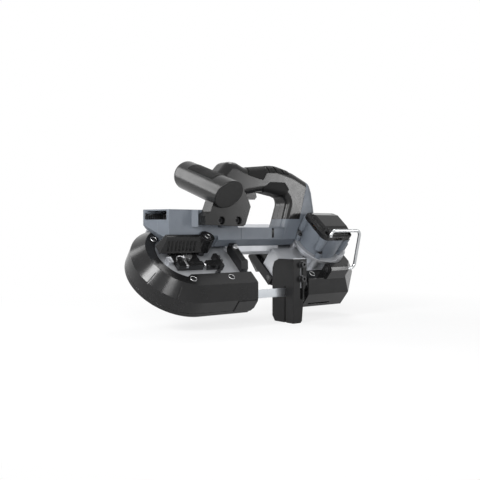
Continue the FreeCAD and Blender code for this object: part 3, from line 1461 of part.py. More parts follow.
def build():
    reach = roller_reach()
    return {
        "main_frame": main_frame(),
        "front_wheel_guard": front_wheel_guard(),
        "rear_wheel_guard": rear_wheel_guard(),
        "guard_screws": guard_screws(),
        "throat_bar": throat_bar(),
        "blade": blade(),
        "front_wheel": front_wheel(),
        "front_tyre": tyre(-half_spacing),
        "idler_bearing": idler_bearing(),
        "idler_axle": idler_axle(),
        "tension_carriage": tension_carriage(),
        "tension_spring": tension_spring(),
        "spring_seat": spring_seat(),
        "tension_lever": tension_lever(),
        "lever_pivot": lever_pivot(),
        "drive_wheel": drive_wheel(),
        "drive_tyre": tyre(half_spacing),
        "drive_shaft": drive_shaft(),
        "output_gear": output_gear(),
        "layshaft": layshaft(),
        "layshaft_gear": layshaft_gear(),
        "gearbox_housing": gearbox_housing(),
        "motor_housing": motor_housing(),
        "motor_end_cap": motor_end_cap(),
        "motor_screws": motor_screws(),
        "stator": stator(),
        "rotor": rotor(),
        "motor_pinion": motor_pinion(),
        "shaft_bearings": group([drive_bearing()] + motor_bearings()),
        "front_guide_block": guide_block(front_guide_u),
        "front_side_roller_a": side_roller(front_guide_u, -reach),
        "front_side_roller_b": side_roller(front_guide_u, reach),
        "front_back_roller": back_roller(front_guide_u),
        "rear_guide_block": guide_block(rear_guide_u),
        "rear_side_roller_a": side_roller(rear_guide_u, -reach),
        "rear_side_roller_b": side_roller(rear_guide_u, reach),
        "rear_back_roller": back_roller(rear_guide_u),
        "guide_pins": group(guide_pins(front_guide_u) + guide_pins(rear_guide_u)),
        "rear_guide_arm": rear_guide_arm(),
        "led_lamp": led_lamp(),
        "work_stop": work_stop(),
        "stop_screws": stop_screws(),
        "hook_block": hook_block(),
        "hang_hook": hang_hook(),
        "body_front_shell": body_half(-far, handle_mid),
        "body_back_shell": body_half(handle_mid, far),
        "handle_front_shell": handle_half(0, handle_mid),
        "handle_back_shell": handle_half(handle_mid, far),
        "grip_pads": grip_pads(),
        "trigger": trigger(),
        "trigger_pin": trigger_pin(),
        "switch_module": switch_module(),
        "control_board": control_board(),
        "terminal_block": terminal_block(),
        "body_screws": body_screws(),
        "front_handle": front_handle(),
        "front_handle_pad": front_handle_pad(),
        "front_handle_bracket": front_handle_bracket(),
        "bracket_screws": bracket_screws(),
    }


def main():
    print("blade length %.1f mm" % blade_length)
    os.makedirs("parts", exist_ok=True)
    for name, shape in build().items():
        shape.exportStep("parts/%s.step" % name)


if __name__ == "__main__":
    main()
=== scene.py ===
import bpy
import bmesh
import math
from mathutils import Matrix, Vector


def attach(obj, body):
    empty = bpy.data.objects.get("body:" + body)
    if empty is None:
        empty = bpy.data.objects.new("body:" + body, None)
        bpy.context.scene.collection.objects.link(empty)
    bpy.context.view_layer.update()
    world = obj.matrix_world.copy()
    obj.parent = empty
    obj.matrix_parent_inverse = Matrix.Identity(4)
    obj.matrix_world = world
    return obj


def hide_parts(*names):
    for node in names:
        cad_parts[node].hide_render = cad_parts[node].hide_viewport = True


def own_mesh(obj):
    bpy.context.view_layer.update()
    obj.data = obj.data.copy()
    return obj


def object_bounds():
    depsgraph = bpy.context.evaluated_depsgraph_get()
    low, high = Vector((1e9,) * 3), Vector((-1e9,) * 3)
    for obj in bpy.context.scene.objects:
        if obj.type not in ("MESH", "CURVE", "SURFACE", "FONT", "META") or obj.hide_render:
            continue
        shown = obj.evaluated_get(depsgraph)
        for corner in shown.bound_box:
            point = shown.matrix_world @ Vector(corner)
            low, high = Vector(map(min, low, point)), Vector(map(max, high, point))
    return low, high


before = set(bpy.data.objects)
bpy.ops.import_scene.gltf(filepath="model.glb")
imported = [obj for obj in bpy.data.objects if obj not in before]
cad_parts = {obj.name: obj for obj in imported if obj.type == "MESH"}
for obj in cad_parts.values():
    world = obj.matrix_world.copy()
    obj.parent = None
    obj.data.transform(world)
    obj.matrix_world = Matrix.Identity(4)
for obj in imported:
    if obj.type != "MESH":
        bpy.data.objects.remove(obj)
cadBox = [list(corner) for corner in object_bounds()]
print("frame loaded:", len(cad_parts), "nodes")

mm = 0.001                       # sizes of pieces are in mm
loopTilt = math.radians(40)      # the blade loop leans back by this much
loopRadius = 58.09               # wheel axes to the middle of the blade
wheelAxle = 117.5                # middle of the loop to each wheel axis


# Selecting and placing, as by hand

def clearSelection():
    if bpy.context.mode != "OBJECT":
        bpy.ops.object.mode_set(mode="OBJECT")
    bpy.ops.object.select_all(action="DESELECT")


def selectOnly(piece):
    clearSelection()
    piece.select_set(True)
    bpy.context.view_layer.objects.active = piece


def applyPlace(piece):
    selectOnly(piece)
    bpy.ops.object.transform_apply(location=True, rotation=True, scale=True)
    return piece


def applyModifier(piece, modifier):
    selectOnly(piece)
    bpy.ops.object.modifier_apply(modifier=modifier.name)


def takeNew(name):               # the primitive just added
    piece = bpy.context.active_object
    piece.name = name
    return applyPlace(piece)


def addBlock(name, low, high):   # block between two corners
    clearSelection()
    middle = [(a + b) / 2 * mm for a, b in zip(low, high)]
    size = [(b - a) * mm for a, b in zip(low, high)]
    bpy.ops.mesh.primitive_cube_add(size=1, location=middle, scale=size)
    return takeNew(name)


def addRound(name, radius, low, high, centre=(0, 0), sides=40):   # upright cylinder
    clearSelection()
    place = (centre[0] * mm, centre[1] * mm, (low + high) / 2 * mm)
    bpy.ops.mesh.primitive_cylinder_add(vertices=sides, radius=radius * mm, depth=(high - low) * mm,
                                        location=place)
    return takeNew(name)


def addRing(name, radius, wire, centre=(0, 0, 0), sides=48, wireSides=10):   # ring lying flat
    clearSelection()
    bpy.ops.mesh.primitive_torus_add(major_radius=radius * mm, minor_radius=wire * mm, major_segments=sides,
                                     minor_segments=wireSides, location=[c * mm for c in centre])
    return takeNew(name)


# Picking and shaping in edit mode

def looking(*way):               # picks faces by the way they look
    return lambda face: face.normal.dot(Vector(way)) > 0.9


topFaces = looking(0, 0, 1)
underFaces = looking(0, 0, -1)
frontFaces = looking(0, -1, 0)
leftFaces = looking(-1, 0, 0)


def everyFace(face):
    return True


def enterEdit(piece, kind):      # edit mode with nothing selected
    selectOnly(piece)
    bpy.ops.object.mode_set(mode="EDIT")
    bpy.ops.mesh.select_mode(type=kind)
    bpy.ops.mesh.select_all(action="DESELECT")
    return bmesh.from_edit_mesh(piece.data)


def pickFaces(piece, wanted):
    shape = enterEdit(piece, "FACE")
    for face in shape.faces:
        face.select_set(bool(wanted(face)))
    bmesh.update_edit_mesh(piece.data)


def pickCorners(piece, wanted):
    shape = enterEdit(piece, "VERT")
    for corner in shape.verts:
        corner.select_set(bool(wanted(corner)))
    bmesh.update_edit_mesh(piece.data)


def leaveEdit():
    bpy.ops.object.mode_set(mode="OBJECT")


def pushIn(depth):               # what is selected
    bpy.ops.mesh.extrude_region_shrink_fatten(TRANSFORM_OT_shrink_fatten={"value": -depth * mm})


def sinkFaces(piece, wanted, rim, depth):   # inset, then push in
    pickFaces(piece, wanted)
    bpy.ops.mesh.inset(thickness=rim * mm)
    pushIn(depth)
    leaveEdit()


def openRing(ring, wanted):      # takes faces out of a ring and closes the ends
    pickFaces(ring, wanted)
    bpy.ops.mesh.delete(type="FACE")
    bpy.ops.mesh.select_all(action="SELECT")
    bpy.ops.mesh.fill_holes(sides=0)
    leaveEdit()


def roundEdges(piece, width, segments=2, angle=32):
    soft = piece.modifiers.new("soft edges", "BEVEL")
    soft.width = width * mm
    soft.segments = segments
    soft.limit_method = "ANGLE"
    soft.angle_limit = math.radians(angle)
    applyModifier(piece, soft)


def cutWith(piece, tool):        # boolean cut, the tool is used up
    cut = piece.modifiers.new("cut", "BOOLEAN")
    cut.operation = "DIFFERENCE"
    cut.solver = "EXACT"
    cut.object = tool
    applyModifier(piece, cut)
    bpy.data.objects.remove(tool)


# Copies, joins and places

def joinAll(name, pieces):
    clearSelection()
    for piece in pieces:
        piece.select_set(True)
    bpy.context.view_layer.objects.active = pieces[0]
    bpy.ops.object.join()
    pieces[0].name = name
    return pieces[0]


def copyTo(piece, name, move):   # a copy with its own mesh
    clearSelection()
    twin = piece.copy()
    twin.data = piece.data.copy()
    twin.name = name
    bpy.context.scene.collection.objects.link(twin)
    twin.location = [m * mm for m in move]
    return applyPlace(twin)


def scatter(name, model, places):   # copies of one model, joined, the model is used up
    copies = [copyTo(model, name + str(index), place) for index, place in enumerate(places)]
    bpy.data.objects.remove(model)
    return joinAll(name, copies)


def pointAlong(piece, way, move=(0, 0, 0)):   # from standing on Z to another way, then moved
    piece.rotation_euler = Vector((0, 0, 1)).rotation_difference(Vector(way)).to_euler()
    piece.location = [m * mm for m in move]
    return applyPlace(piece)


def seatInLoop(piece):           # from the flat loop to the leaning one
    piece.rotation_euler = (loopTilt, 0, 0)
    piece.location = (0, loopRadius * math.cos(loopTilt) * mm, loopRadius * math.sin(loopTilt) * mm)
    return applyPlace(piece)


def finishPiece(piece, finishName, body, stands=(), smooth=35):
    selectOnly(piece)
    bpy.ops.object.shade_smooth_by_angle(angle=math.radians(smooth))
    piece.data.materials.clear()
    piece.data.materials.append(finish[finishName])
    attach(piece, body)
    if stands:
        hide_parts(*stands)


# Finishes

def addNode(tree, kind, **inputs):
    node = tree.nodes.new(kind)
    for name, value in inputs.items():
        node.inputs[name].default_value = value
    return node


def startFinish(name):
    material = bpy.data.materials.new(name)
    material.use_nodes = True
    tree = material.node_tree
    coords = tree.nodes.new("ShaderNodeTexCoord")
    return material, tree, tree.nodes["Principled BSDF"], coords.outputs["Object"]


def noiseAt(tree, place, scale, detail=4.0, rough=0.55):
    noise = addNode(tree, "ShaderNodeTexNoise", Scale=scale, Detail=detail, Roughness=rough)
    tree.links.new(place, noise.inputs["Vector"])
    return noise.outputs["Fac"]


def spread(tree, value, low, high, fromLow=0.3, fromHigh=0.7):
    ranged = tree.nodes.new("ShaderNodeMapRange")
    ranged.inputs["From Min"].default_value = fromLow
    ranged.inputs["From Max"].default_value = fromHigh
    ranged.inputs["To Min"].default_value = low
    ranged.inputs["To Max"].default_value = high
    tree.links.new(value, ranged.inputs["Value"])
    return ranged.outputs["Result"]


def blendColours(tree, share, first, second):
    mix = tree.nodes.new("ShaderNodeMix")
    mix.data_type = "RGBA"
    tree.links.new(share, mix.inputs["Factor"])
    for socket, colour in ((mix.inputs["A"], first), (mix.inputs["B"], second)):
        if isinstance(colour, tuple):
            socket.default_value = (*colour, 1)
        else:
            tree.links.new(colour, socket)
    return mix.outputs["Result"]


def times(tree, first, second):
    product = tree.nodes.new("ShaderNodeMath")
    product.operation = "MULTIPLY"
    for socket, value in ((product.inputs[0], first), (product.inputs[1], second)):
        if isinstance(value, (int, float)):
            socket.default_value = value
        else:
            tree.links.new(value, socket)
    return product.outputs["Value"]


def softEdge(tree, radius):      # rounded normal at sharp edges, and how near an edge is
    edge = addNode(tree, "ShaderNodeBevel", Radius=radius * mm)
    edge.samples = 6
    surface = tree.nodes.new("ShaderNodeNewGeometry")
    dot = tree.nodes.new("ShaderNodeVectorMath")
    dot.operation = "DOT_PRODUCT"
    tree.links.new(edge.outputs["Normal"], dot.inputs[0])
    tree.links.new(surface.outputs["True Normal"], dot.inputs[1])
    near = spread(tree, dot.outputs["Value"], 1.0, 0.0, fromLow=0.8, fromHigh=0.99)
    return edge.outputs["Normal"], near


def addBump(tree, shader, height, strength, depth, normal=None):
    bump = addNode(tree, "ShaderNodeBump", Strength=strength, Distance=depth * mm)
    tree.links.new(height, bump.inputs["Height"])
    if normal is not None:
        tree.links.new(normal, bump.inputs["Normal"])
    tree.links.new(bump.outputs["Normal"], shader.inputs["Normal"])


def mouldedPlastic(name, base, deep, wornAndHighlight, rough, grain, grainStrength, edge, wearAndHighlightShare=0.6, sheen=0.35):
    material, tree, shader, place = startFinish(name)
    mottle = noiseAt(tree, place, scale=38, detail=5)
    colour = blendColours(tree, spread(tree, mottle, 0, 1), base, deep)
    normal, nearEdge = softEdge(tree, edge)
    scratches = noiseAt(tree, place, scale=210, detail=6, rough=0.7)
    wearAndHighlightMask = spread(tree, scratches, 0, wearAndHighlightShare, fromLow=0.42, fromHigh=0.68)
    # edges take a lighter colour: partly real wear, partly a painted highlight that outlines the edges
    colour = blendColours(tree, times(tree, nearEdge, wearAndHighlightMask), colour, wornAndHighlight)
    tree.links.new(colour, shader.inputs["Base Color"])
    haze = noiseAt(tree, place, scale=95, detail=3)
    tree.links.new(spread(tree, haze, *rough), shader.inputs["Roughness"])
    shader.inputs["Specular IOR Level"].default_value = sheen
    addBump(tree, shader, noiseAt(tree, place, grain, detail=2), grainStrength, depth=0.12, normal=normal)
    return material


def metalFinish(name, base, deep, rough, grain, grainStrength, edge, stretch=(1, 1, 1), metallic=1.0,
                sheen=0.5):
    material, tree, shader, place = startFinish(name)
    turn = addNode(tree, "ShaderNodeMapping", Scale=stretch)
    tree.links.new(place, turn.inputs["Vector"])
    lines = noiseAt(tree, turn.outputs["Vector"], grain, detail=5, rough=0.65)
    cloud = noiseAt(tree, place, scale=45)
    normal, nearEdge = softEdge(tree, edge)
    colour = blendColours(tree, spread(tree, cloud, 0, 1), base, deep)
    rubbed = tuple(min(1.0, c * 1.25) for c in base)   # edges are a little brighter
    colour = blendColours(tree, times(tree, nearEdge, 0.4), colour, rubbed)
    tree.links.new(colour, shader.inputs["Base Color"])
    shader.inputs["Metallic"].default_value = metallic
    shader.inputs["Specular IOR Level"].default_value = sheen
    tree.links.new(spread(tree, lines, *rough), shader.inputs["Roughness"])
    addBump(tree, shader, lines, grainStrength, depth=0.06, normal=normal)
    return material


def rubberFinish(name, base, deep, rim, rough, cell, depth, edge=0.9, sheen=0.15):
    material, tree, shader, place = startFinish(name)
    hide = addNode(tree, "ShaderNodeTexVoronoi", Scale=cell)
    hide.feature = "DISTANCE_TO_EDGE"
    tree.links.new(place, hide.inputs["Vector"])
    pore = spread(tree, hide.outputs["Distance"], 0, 1, fromLow=0.0, fromHigh=0.28)
    dust = noiseAt(tree, place, scale=60, detail=5)
    colour = blendColours(tree, times(tree, pore, spread(tree, dust, 0.4, 1.0)), deep, base)
    tree.links.new(spread(tree, dust, *rough), shader.inputs["Roughness"])
    shader.inputs["Specular IOR Level"].default_value = sheen
    normal, rimShadeMask = softEdge(tree, edge)
    # edges are painted near black: painted shade standing in for the dark grooves round the pads
    tree.links.new(blendColours(tree, rimShadeMask, colour, rim), shader.inputs["Base Color"])
    addBump(tree, shader, pore, strength=0.6, depth=depth, normal=normal)
    return material


waveBands = 3.2                  # bands in one unit of the wave texture


def stripedFinish(name, first, second, rough, pitch, way, metallic=0.0, edge=0.3):
    material, tree, shader, place = startFinish(name)
    bands = addNode(tree, "ShaderNodeTexWave", Scale=1 / (pitch * mm) / waveBands, Distortion=0.6)
    bands.bands_direction = way
    tree.links.new(place, bands.inputs["Vector"])
    grime = noiseAt(tree, place, scale=120)
    stripes = times(tree, bands.outputs["Fac"], spread(tree, grime, 0.5, 1))
    tree.links.new(blendColours(tree, stripes, first, second), shader.inputs["Base Color"])
    shader.inputs["Metallic"].default_value = metallic
    tree.links.new(spread(tree, grime, *rough), shader.inputs["Roughness"])
    normal, _ = softEdge(tree, edge)
    addBump(tree, shader, bands.outputs["Fac"], strength=0.5, depth=0.15, normal=normal)
    return material


def lensFinish(name, base, deep, rough, frost, cell, clear, ior):
    material, tree, shader, place = startFinish(name)
    cloud = noiseAt(tree, place, frost, detail=3)
    facets = addNode(tree, "ShaderNodeTexVoronoi", Scale=cell)
    tree.links.new(place, facets.inputs["Vector"])
    colour = blendColours(tree, spread(tree, cloud, 0, 1), base, deep)
    tree.links.new(colour, shader.inputs["Base Color"])
    shader.inputs["Transmission Weight"].default_value = clear
    shader.inputs["IOR"].default_value = ior
    tree.links.new(spread(tree, cloud, *rough), shader.inputs["Roughness"])
    addBump(tree, shader, facets.outputs["Distance"], strength=0.25, depth=0.1)
    return material


finish = {
    "bodyGrey": mouldedPlastic(
        "body grey", base=(0.118, 0.134, 0.156), deep=(0.104, 0.118, 0.138), wornAndHighlight=(0.27, 0.29, 0.32),
        rough=(0.36, 0.50), grain=2600, grainStrength=0.16, edge=0.9),
    "casingBlack": mouldedPlastic(
        "casing black", base=(0.010, 0.010, 0.0104), deep=(0.007, 0.007, 0.0073), wornAndHighlight=(0.10, 0.10, 0.104),
        rough=(0.17, 0.21), grain=2200, grainStrength=0.02, edge=0.8, wearAndHighlightShare=0.4, sheen=0.26),
    "handleBlack": mouldedPlastic(
        "handle black", base=(0.011, 0.011, 0.011), deep=(0.008, 0.008, 0.008), wornAndHighlight=(0.09, 0.09, 0.09),
        rough=(0.22, 0.26), grain=2400, grainStrength=0.03, edge=0.9, wearAndHighlightShare=0.45, sheen=0.26),
    # the grip's rim colour is painted shade along its edges
    "gripRubber": rubberFinish(
        "grip rubber", base=(0.013, 0.013, 0.013), deep=(0.005, 0.005, 0.005), rim=(0.002, 0.002, 0.002),
        rough=(0.5, 0.68), cell=1150, depth=0.22),
    "castSilver": metalFinish(
        "cast silver", base=(0.47, 0.48, 0.50), deep=(0.40, 0.41, 0.43), rough=(0.46, 0.6), grain=900,
        grainStrength=0.22, edge=0.8, metallic=0.85),
    "coatedSteel": metalFinish(
        "coated steel", base=(0.011, 0.011, 0.0114), deep=(0.008, 0.008, 0.0083), rough=(0.30, 0.42),
        grain=1600, grainStrength=0.12, edge=1.2, metallic=0.0, sheen=0.16),
    "bladeSteel": metalFinish(
        "blade steel", base=(0.46, 0.48, 0.50), deep=(0.38, 0.40, 0.42), rough=(0.28, 0.46), grain=700,
        grainStrength=0.18, edge=0.1, stretch=(0.05, 1.4, 1.4)),
    "brightSteel": metalFinish(
        "bright steel", base=(0.70, 0.70, 0.71), deep=(0.55, 0.55, 0.56), rough=(0.2, 0.36), grain=900,
        grainStrength=0.15, edge=0.3),
    "chromeWire": metalFinish(
        "chrome wire", base=(0.50, 0.51, 0.52), deep=(0.42, 0.43, 0.44), rough=(0.12, 0.24), grain=500,
        grainStrength=0.05, edge=0.2),
    "blackScrew": metalFinish(
        "black screw", base=(0.045, 0.045, 0.047), deep=(0.028, 0.028, 0.030), rough=(0.26, 0.42), grain=1400,
        grainStrength=0.2, edge=0.3, metallic=0.75),
    "wheelCast": metalFinish(
        "wheel casting", base=(0.34, 0.35, 0.36), deep=(0.26, 0.27, 0.28), rough=(0.38, 0.55), grain=800,
        grainStrength=0.35, edge=0.6),
    "tyreRubber": stripedFinish(
        "tyre rubber", first=(0.018, 0.018, 0.018), second=(0.040, 0.040, 0.040), rough=(0.6, 0.8), pitch=2.4,
        way="Z"),
    "copper": stripedFinish(
        "copper winding", first=(0.50, 0.20, 0.09), second=(0.78, 0.38, 0.19), rough=(0.25, 0.42), pitch=1.0,
        way="Z", metallic=1.0),
    "circuit": stripedFinish(
        "circuit board", first=(0.010, 0.085, 0.040), second=(0.030, 0.190, 0.085), rough=(0.3, 0.5),
        pitch=3.0, way="X"),
    "terminal": stripedFinish(
        "terminal block", first=(0.020, 0.020, 0.022), second=(0.055, 0.055, 0.058), rough=(0.4, 0.6),
        pitch=4.0, way="Y"),
    "lens": lensFinish(
        "lamp lens", base=(0.055, 0.055, 0.053), deep=(0.09, 0.09, 0.088), rough=(0.12, 0.3), frost=700,
        cell=900, clear=0.2, ior=1.49),
}
print("finishes made:", len(finish))

nodeFinish = {
    "castSilver": ["main_frame", "gearbox_housing"],
    "casingBlack": ["front_wheel_guard", "rear_wheel_guard", "throat_bar", "tension_carriage",
                    "tension_lever", "motor_end_cap", "rear_guide_arm", "hook_block", "spring_seat"],
    "handleBlack": ["handle_front_shell", "handle_back_shell", "trigger", "front_handle",
                    "front_handle_bracket"],
    "gripRubber": ["grip_pads", "front_handle_pad"],
    "bodyGrey": ["body_front_shell", "body_back_shell", "motor_housing"],
    "coatedSteel": ["work_stop"],
    "bladeSteel": ["blade"],
    "brightSteel": ["idler_bearing", "idler_axle", "tension_spring", "drive_shaft", "output_gear", "layshaft",
                    "layshaft_gear", "rotor", "motor_pinion", "shaft_bearings", "front_guide_block",
                    "front_side_roller_a", "front_side_roller_b", "front_back_roller", "rear_guide_block",
                    "rear_side_roller_a", "rear_side_roller_b", "rear_back_roller", "guide_pins",
                    "trigger_pin", "guard_screws"],
    "blackScrew": ["lever_pivot", "motor_screws", "stop_screws", "body_screws", "bracket_screws"],
    "chromeWire": ["hang_hook"],
    "wheelCast": ["front_wheel", "drive_wheel"],
    "tyreRubber": ["front_tyre", "drive_tyre"],
    "copper": ["stator"],
    "circuit": ["control_board"],
    "terminal": ["terminal_block", "switch_module"],
    "lens": ["led_lamp"],
}
for finishName, nodeNames in nodeFinish.items():
    for nodeName in nodeNames:
        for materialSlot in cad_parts[nodeName].material_slots:
            materialSlot.material = finish[finishName]
print("finishes given to the carried-over nodes")

# Toothed band: one tooth link, repeated and laid along the loop, upright across the throat

band = dict(teeth=456, width=12.7, thickness=0.6, gullet=1.1, rake=0.55, throat=(-51.5, 64.0), lead=12.0,
            arcSteps=48, linkMerge=0.02, endMerge=0.05)
link = (4 * wheelAxle + 2 * math.pi * loopRadius) / band["teeth"]
halfWidth = band["width"] / 2
halfThick = band["thickness"] / 2


def alongLink(point):            # share of one link's length
    return point.x / (link * mm)


tooth = addBlock("bladeBand", (0, -halfThick, -halfWidth), (link, halfThick, halfWidth))
pickFaces(tooth, underFaces)
bpy.ops.mesh.subdivide(number_cuts=2)
leaveEdit()
tipLine = -0.99 * halfWidth * mm
for low, high, depth in ((0.1, 0.5, band["gullet"]), (0.5, 0.9, band["gullet"] * band["rake"])):
    pickCorners(tooth, lambda corner: corner.co.z < tipLine and low < alongLink(corner.co) < high)
    bpy.ops.transform.translate(value=(0, 0, depth * mm))   # raked gullet between the tips
    leaveEdit()
pickFaces(tooth, lambda face: abs(alongLink(face.calc_center_median()) - 0.5) > 0.49)   # open ends
bpy.ops.mesh.delete(type="FACE")
leaveEdit()
repeat = tooth.modifiers.new("teeth", "ARRAY")
repeat.count = band["teeth"]
repeat.use_relative_offset = False
repeat.use_constant_offset = True
repeat.constant_offset_displace = (link * mm, 0, 0)
repeat.use_merge_vertices = True
repeat.merge_threshold = band["linkMerge"] * mm
applyModifier(tooth, repeat)

lowerRun = (-wheelAxle, -wheelAxle + band["lead"], *band["throat"], wheelAxle - band["lead"])
route = [(u, -loopRadius) for u in lowerRun]
for side, start in ((1, -90), (-1, 90)):
    for step in range(band["arcSteps"] + 1):
        turn = math.radians(start + 180 * step / band["arcSteps"])
        route.append((side * wheelAxle + loopRadius * math.cos(turn), loopRadius * math.sin(turn)))
route.pop()                      # the last point is the first again
track = bpy.data.curves.new("bladeTrack", "CURVE")
track.dimensions = "3D"
track.twist_mode = "Z_UP"
track.use_stretch = True
track.use_deform_bounds = True
line = track.splines.new("POLY")
line.points.add(len(route) - 1)
for point, (u, d) in zip(line.points, route):
    point.co = (u * mm, d * mm, 0, 1)
    if d == -loopRadius and band["throat"][0] <= u <= band["throat"][1]:
        point.tilt = -loopTilt
line.use_cyclic_u = True
trackHolder = bpy.data.objects.new("bladeTrack", track)
bpy.context.scene.collection.objects.link(trackHolder)
lay = tooth.modifiers.new("along the loop", "CURVE")
lay.object = trackHolder
applyModifier(tooth, lay)
bpy.data.objects.remove(trackHolder)
pickFaces(tooth, everyFace)
bpy.ops.mesh.remove_doubles(threshold=band["endMerge"] * mm)   # the last tooth meets the first
leaveEdit()
finishPiece(seatInLoop(tooth), "bladeSteel", "frame", ["blade"], smooth=25)
print("toothed band laid:", len(tooth.data.polygons), "faces")

# Screws: guards, motor, work stop, front handle bracket, back of the body

headShape = dict(knurlRim=0.02, knurlDepth=0.035, topRim=0.12, topRise=0.06, socketFloor=0.45,
                 washerReach=1.28, washerSoft=0.3)   # shares of a head's radius, height and washer


def socketScrew(name, radius, height, socket, washer=0.0, sides=32):   # stands on Z with its seat at zero
    head = addRound(name, radius, washer, height, sides=sides)
    pickFaces(head, lambda face: abs(face.normal.z) < 0.5 and face.index % 2)
    bpy.ops.mesh.inset(thickness=radius * headShape["knurlRim"] * mm, use_individual=True)
    pushIn(radius * headShape["knurlDepth"])
    leaveEdit()
    sinkFaces(head, topFaces, radius * headShape["topRim"], -radius * headShape["topRise"])
    cutWith(head, addRound(name + "Socket", socket, height * headShape["socketFloor"], height * 2, sides=6))
    if washer:
        plate = addRound(name + "Washer", radius * headShape["washerReach"], 0, washer, sides=sides)
        roundEdges(plate, washer * headShape["washerSoft"])
        head = joinAll(name, [head, plate])
    return head


def screwSet(name, head, places, way=(0, 0, 1)):   # heads at several places, all facing one way
    model = pointAlong(socketScrew(name, **head), way)
    return scatter(name + "Heads", model, places)


guardScrew = dict(head=dict(radius=3.6, height=2.0, socket=1.6), seat=23.3,
                  places=[(-129.5, -46.35), (-67.5, -46.35), (-155.0, 33.6), (80.5, -48.85)],
                  rimHighlight=dict(radius=4.35, wire=0.5), rimHighlightSeat=26.35)
places = [(u, d, guardScrew["seat"]) for u, d in guardScrew["places"]]
screws = screwSet("guardScrew", guardScrew["head"], places)
finishPiece(seatInLoop(screws), "blackScrew", "frame", ["guard_screws"])
# bright steel rings round the screw holes: a painted highlight for the holes' chamfered rims
rimHighlights = scatter("guardRimHighlights", addRing("guardRimHighlight", **guardScrew["rimHighlight"]),
                  [(u, d, guardScrew["rimHighlightSeat"]) for u, d in guardScrew["places"]])
finishPiece(seatInLoop(rimHighlights), "brightSteel", "frame")

motorScrew = dict(head=dict(radius=3.0, height=2.6, socket=1.4),
                  rings=[dict(reach=34.5, angles=(155, 235, 325, 35), seat=48.8),
                         dict(reach=33.23, angles=(45, 135, 225, 315), seat=78.8)])   # housing, end cap
places = []
for circle in motorScrew["rings"]:
    for angle in circle["angles"]:
        turn = math.radians(angle)
        places.append((wheelAxle + circle["reach"] * math.cos(turn), circle["reach"] * math.sin(turn),
                       circle["seat"]))
screws = screwSet("motorScrew", motorScrew["head"], places)
finishPiece(seatInLoop(screws), "blackScrew", "frame", ["motor_screws"])

stopScrew = dict(head=dict(radius=4.3, height=6.0, socket=2.2, washer=1.0), x=52.0, y=-18.2,
                 heights=(20.0, 41.0))
places = [(stopScrew["x"], stopScrew["y"], z) for z in stopScrew["heights"]]
screws = screwSet("stopScrew", stopScrew["head"], places, way=(0, -1, 0))
finishPiece(screws, "blackScrew", "frame", ["stop_screws"])

bracketScrew = dict(head=dict(radius=5.0, height=3.0, socket=2.6), y=13.0,
                    places=[(-75.0, 105.0), (-46.0, 105.0)])
places = [(x, bracketScrew["y"], z) for x, z in bracketScrew["places"]]
screws = screwSet("bracketScrew", bracketScrew["head"], places, way=(0, -1, 0))
finishPiece(screws, "blackScrew", "frame", ["bracket_screws"])

bodyScrew = dict(head=dict(radius=3.0, height=2.4, socket=1.4), y=70.0,
                 places=[(-129.0, 114.0), (-100.0, 114.0), (20.0, 90.2), (70.0, 90.2)])
places = [(x, bodyScrew["y"], z) for x, z in bodyScrew["places"]]
screws = screwSet("bodyScrew", bodyScrew["head"], places, way=(0, 1, 0))
finishPiece(screws, "blackScrew", "frame", ["body_screws"])
print("screws made")

# Lever: ringed cap on its pivot with two turning marks, and ribs along its side

leverCap = dict(centre=(-89.3, 9.3), radius=6.5, low=51.2, high=52.1, sides=48,
                steps=[(0.5, -0.3), (0.9, 0.7), (1.2, -0.6), (1.0, 0.5)],   # rim and depth of each ring
                markRing=3.9, markWire=0.5, markSeat=52.2, markGap=1.6)
cap = addRound("leverCap", leverCap["radius"], leverCap["low"], leverCap["high"], leverCap["centre"],
               leverCap["sides"])
for rim, depth in leverCap["steps"]:
    sinkFaces(cap, lambda face: topFaces(face) and len(face.verts) == leverCap["sides"], rim, depth)
finishPiece(seatInLoop(cap), "blackScrew", "frame")
marks = addRing("leverCapMarks", leverCap["markRing"], leverCap["markWire"],
                (*leverCap["centre"], leverCap["markSeat"]))
capMiddle = leverCap["centre"][0] * mm
openRing(marks, lambda face: abs(face.calc_center_median().x - capMiddle) < leverCap["markGap"] * mm)
finishPiece(seatInLoop(marks), "brightSteel", "frame")

leverRib = dict(count=8, pitch=5.9, first=-149.27, width=1.1, length=14.2, low=-0.9, high=-0.05, soft=0.25,
                centre=(0, 4.18, 38.8), way=(0, -0.93, 0.367))
rib = addBlock("leverRib", (-leverRib["width"] / 2, -leverRib["length"] / 2, leverRib["low"]),
               (leverRib["width"] / 2, leverRib["length"] / 2, leverRib["high"]))
roundEdges(rib, leverRib["soft"])
pointAlong(rib, leverRib["way"], leverRib["centre"])
ribs = scatter("leverRibs", rib, [(leverRib["first"] + index * leverRib["pitch"], 0, 0)
                                  for index in range(leverRib["count"])])
finishPiece(seatInLoop(ribs), "casingBlack", "lever")
print("lever cap and ribs made")

# Work stop: rubber lips along the blade slot, and a dark plate behind the long slot as painted shade

stopLip = dict(left=36.3, right=38.7, inner=0.45, outer=2.5, low=-44.5, high=8.2, soft=0.3)
lip = addBlock("stopLip", (stopLip["left"], stopLip["inner"], stopLip["low"]),
               (stopLip["right"], stopLip["outer"], stopLip["high"]))
pickFaces(lip, frontFaces)
bpy.ops.mesh.subdivide(number_cuts=1)
leaveEdit()
roundEdges(lip, stopLip["soft"])
frontLip = copyTo(lip, "stopLipFront", (0, -stopLip["inner"] - stopLip["outer"], 0))
finishPiece(joinAll("stopLips", [lip, frontLip]), "gripRubber", "stop")

stopShade = dict(low=(45.0, -14.7, -14.0), high=(60.5, -13.6, 6.6), rim=1.5, depth=0.4, soft=0.12)
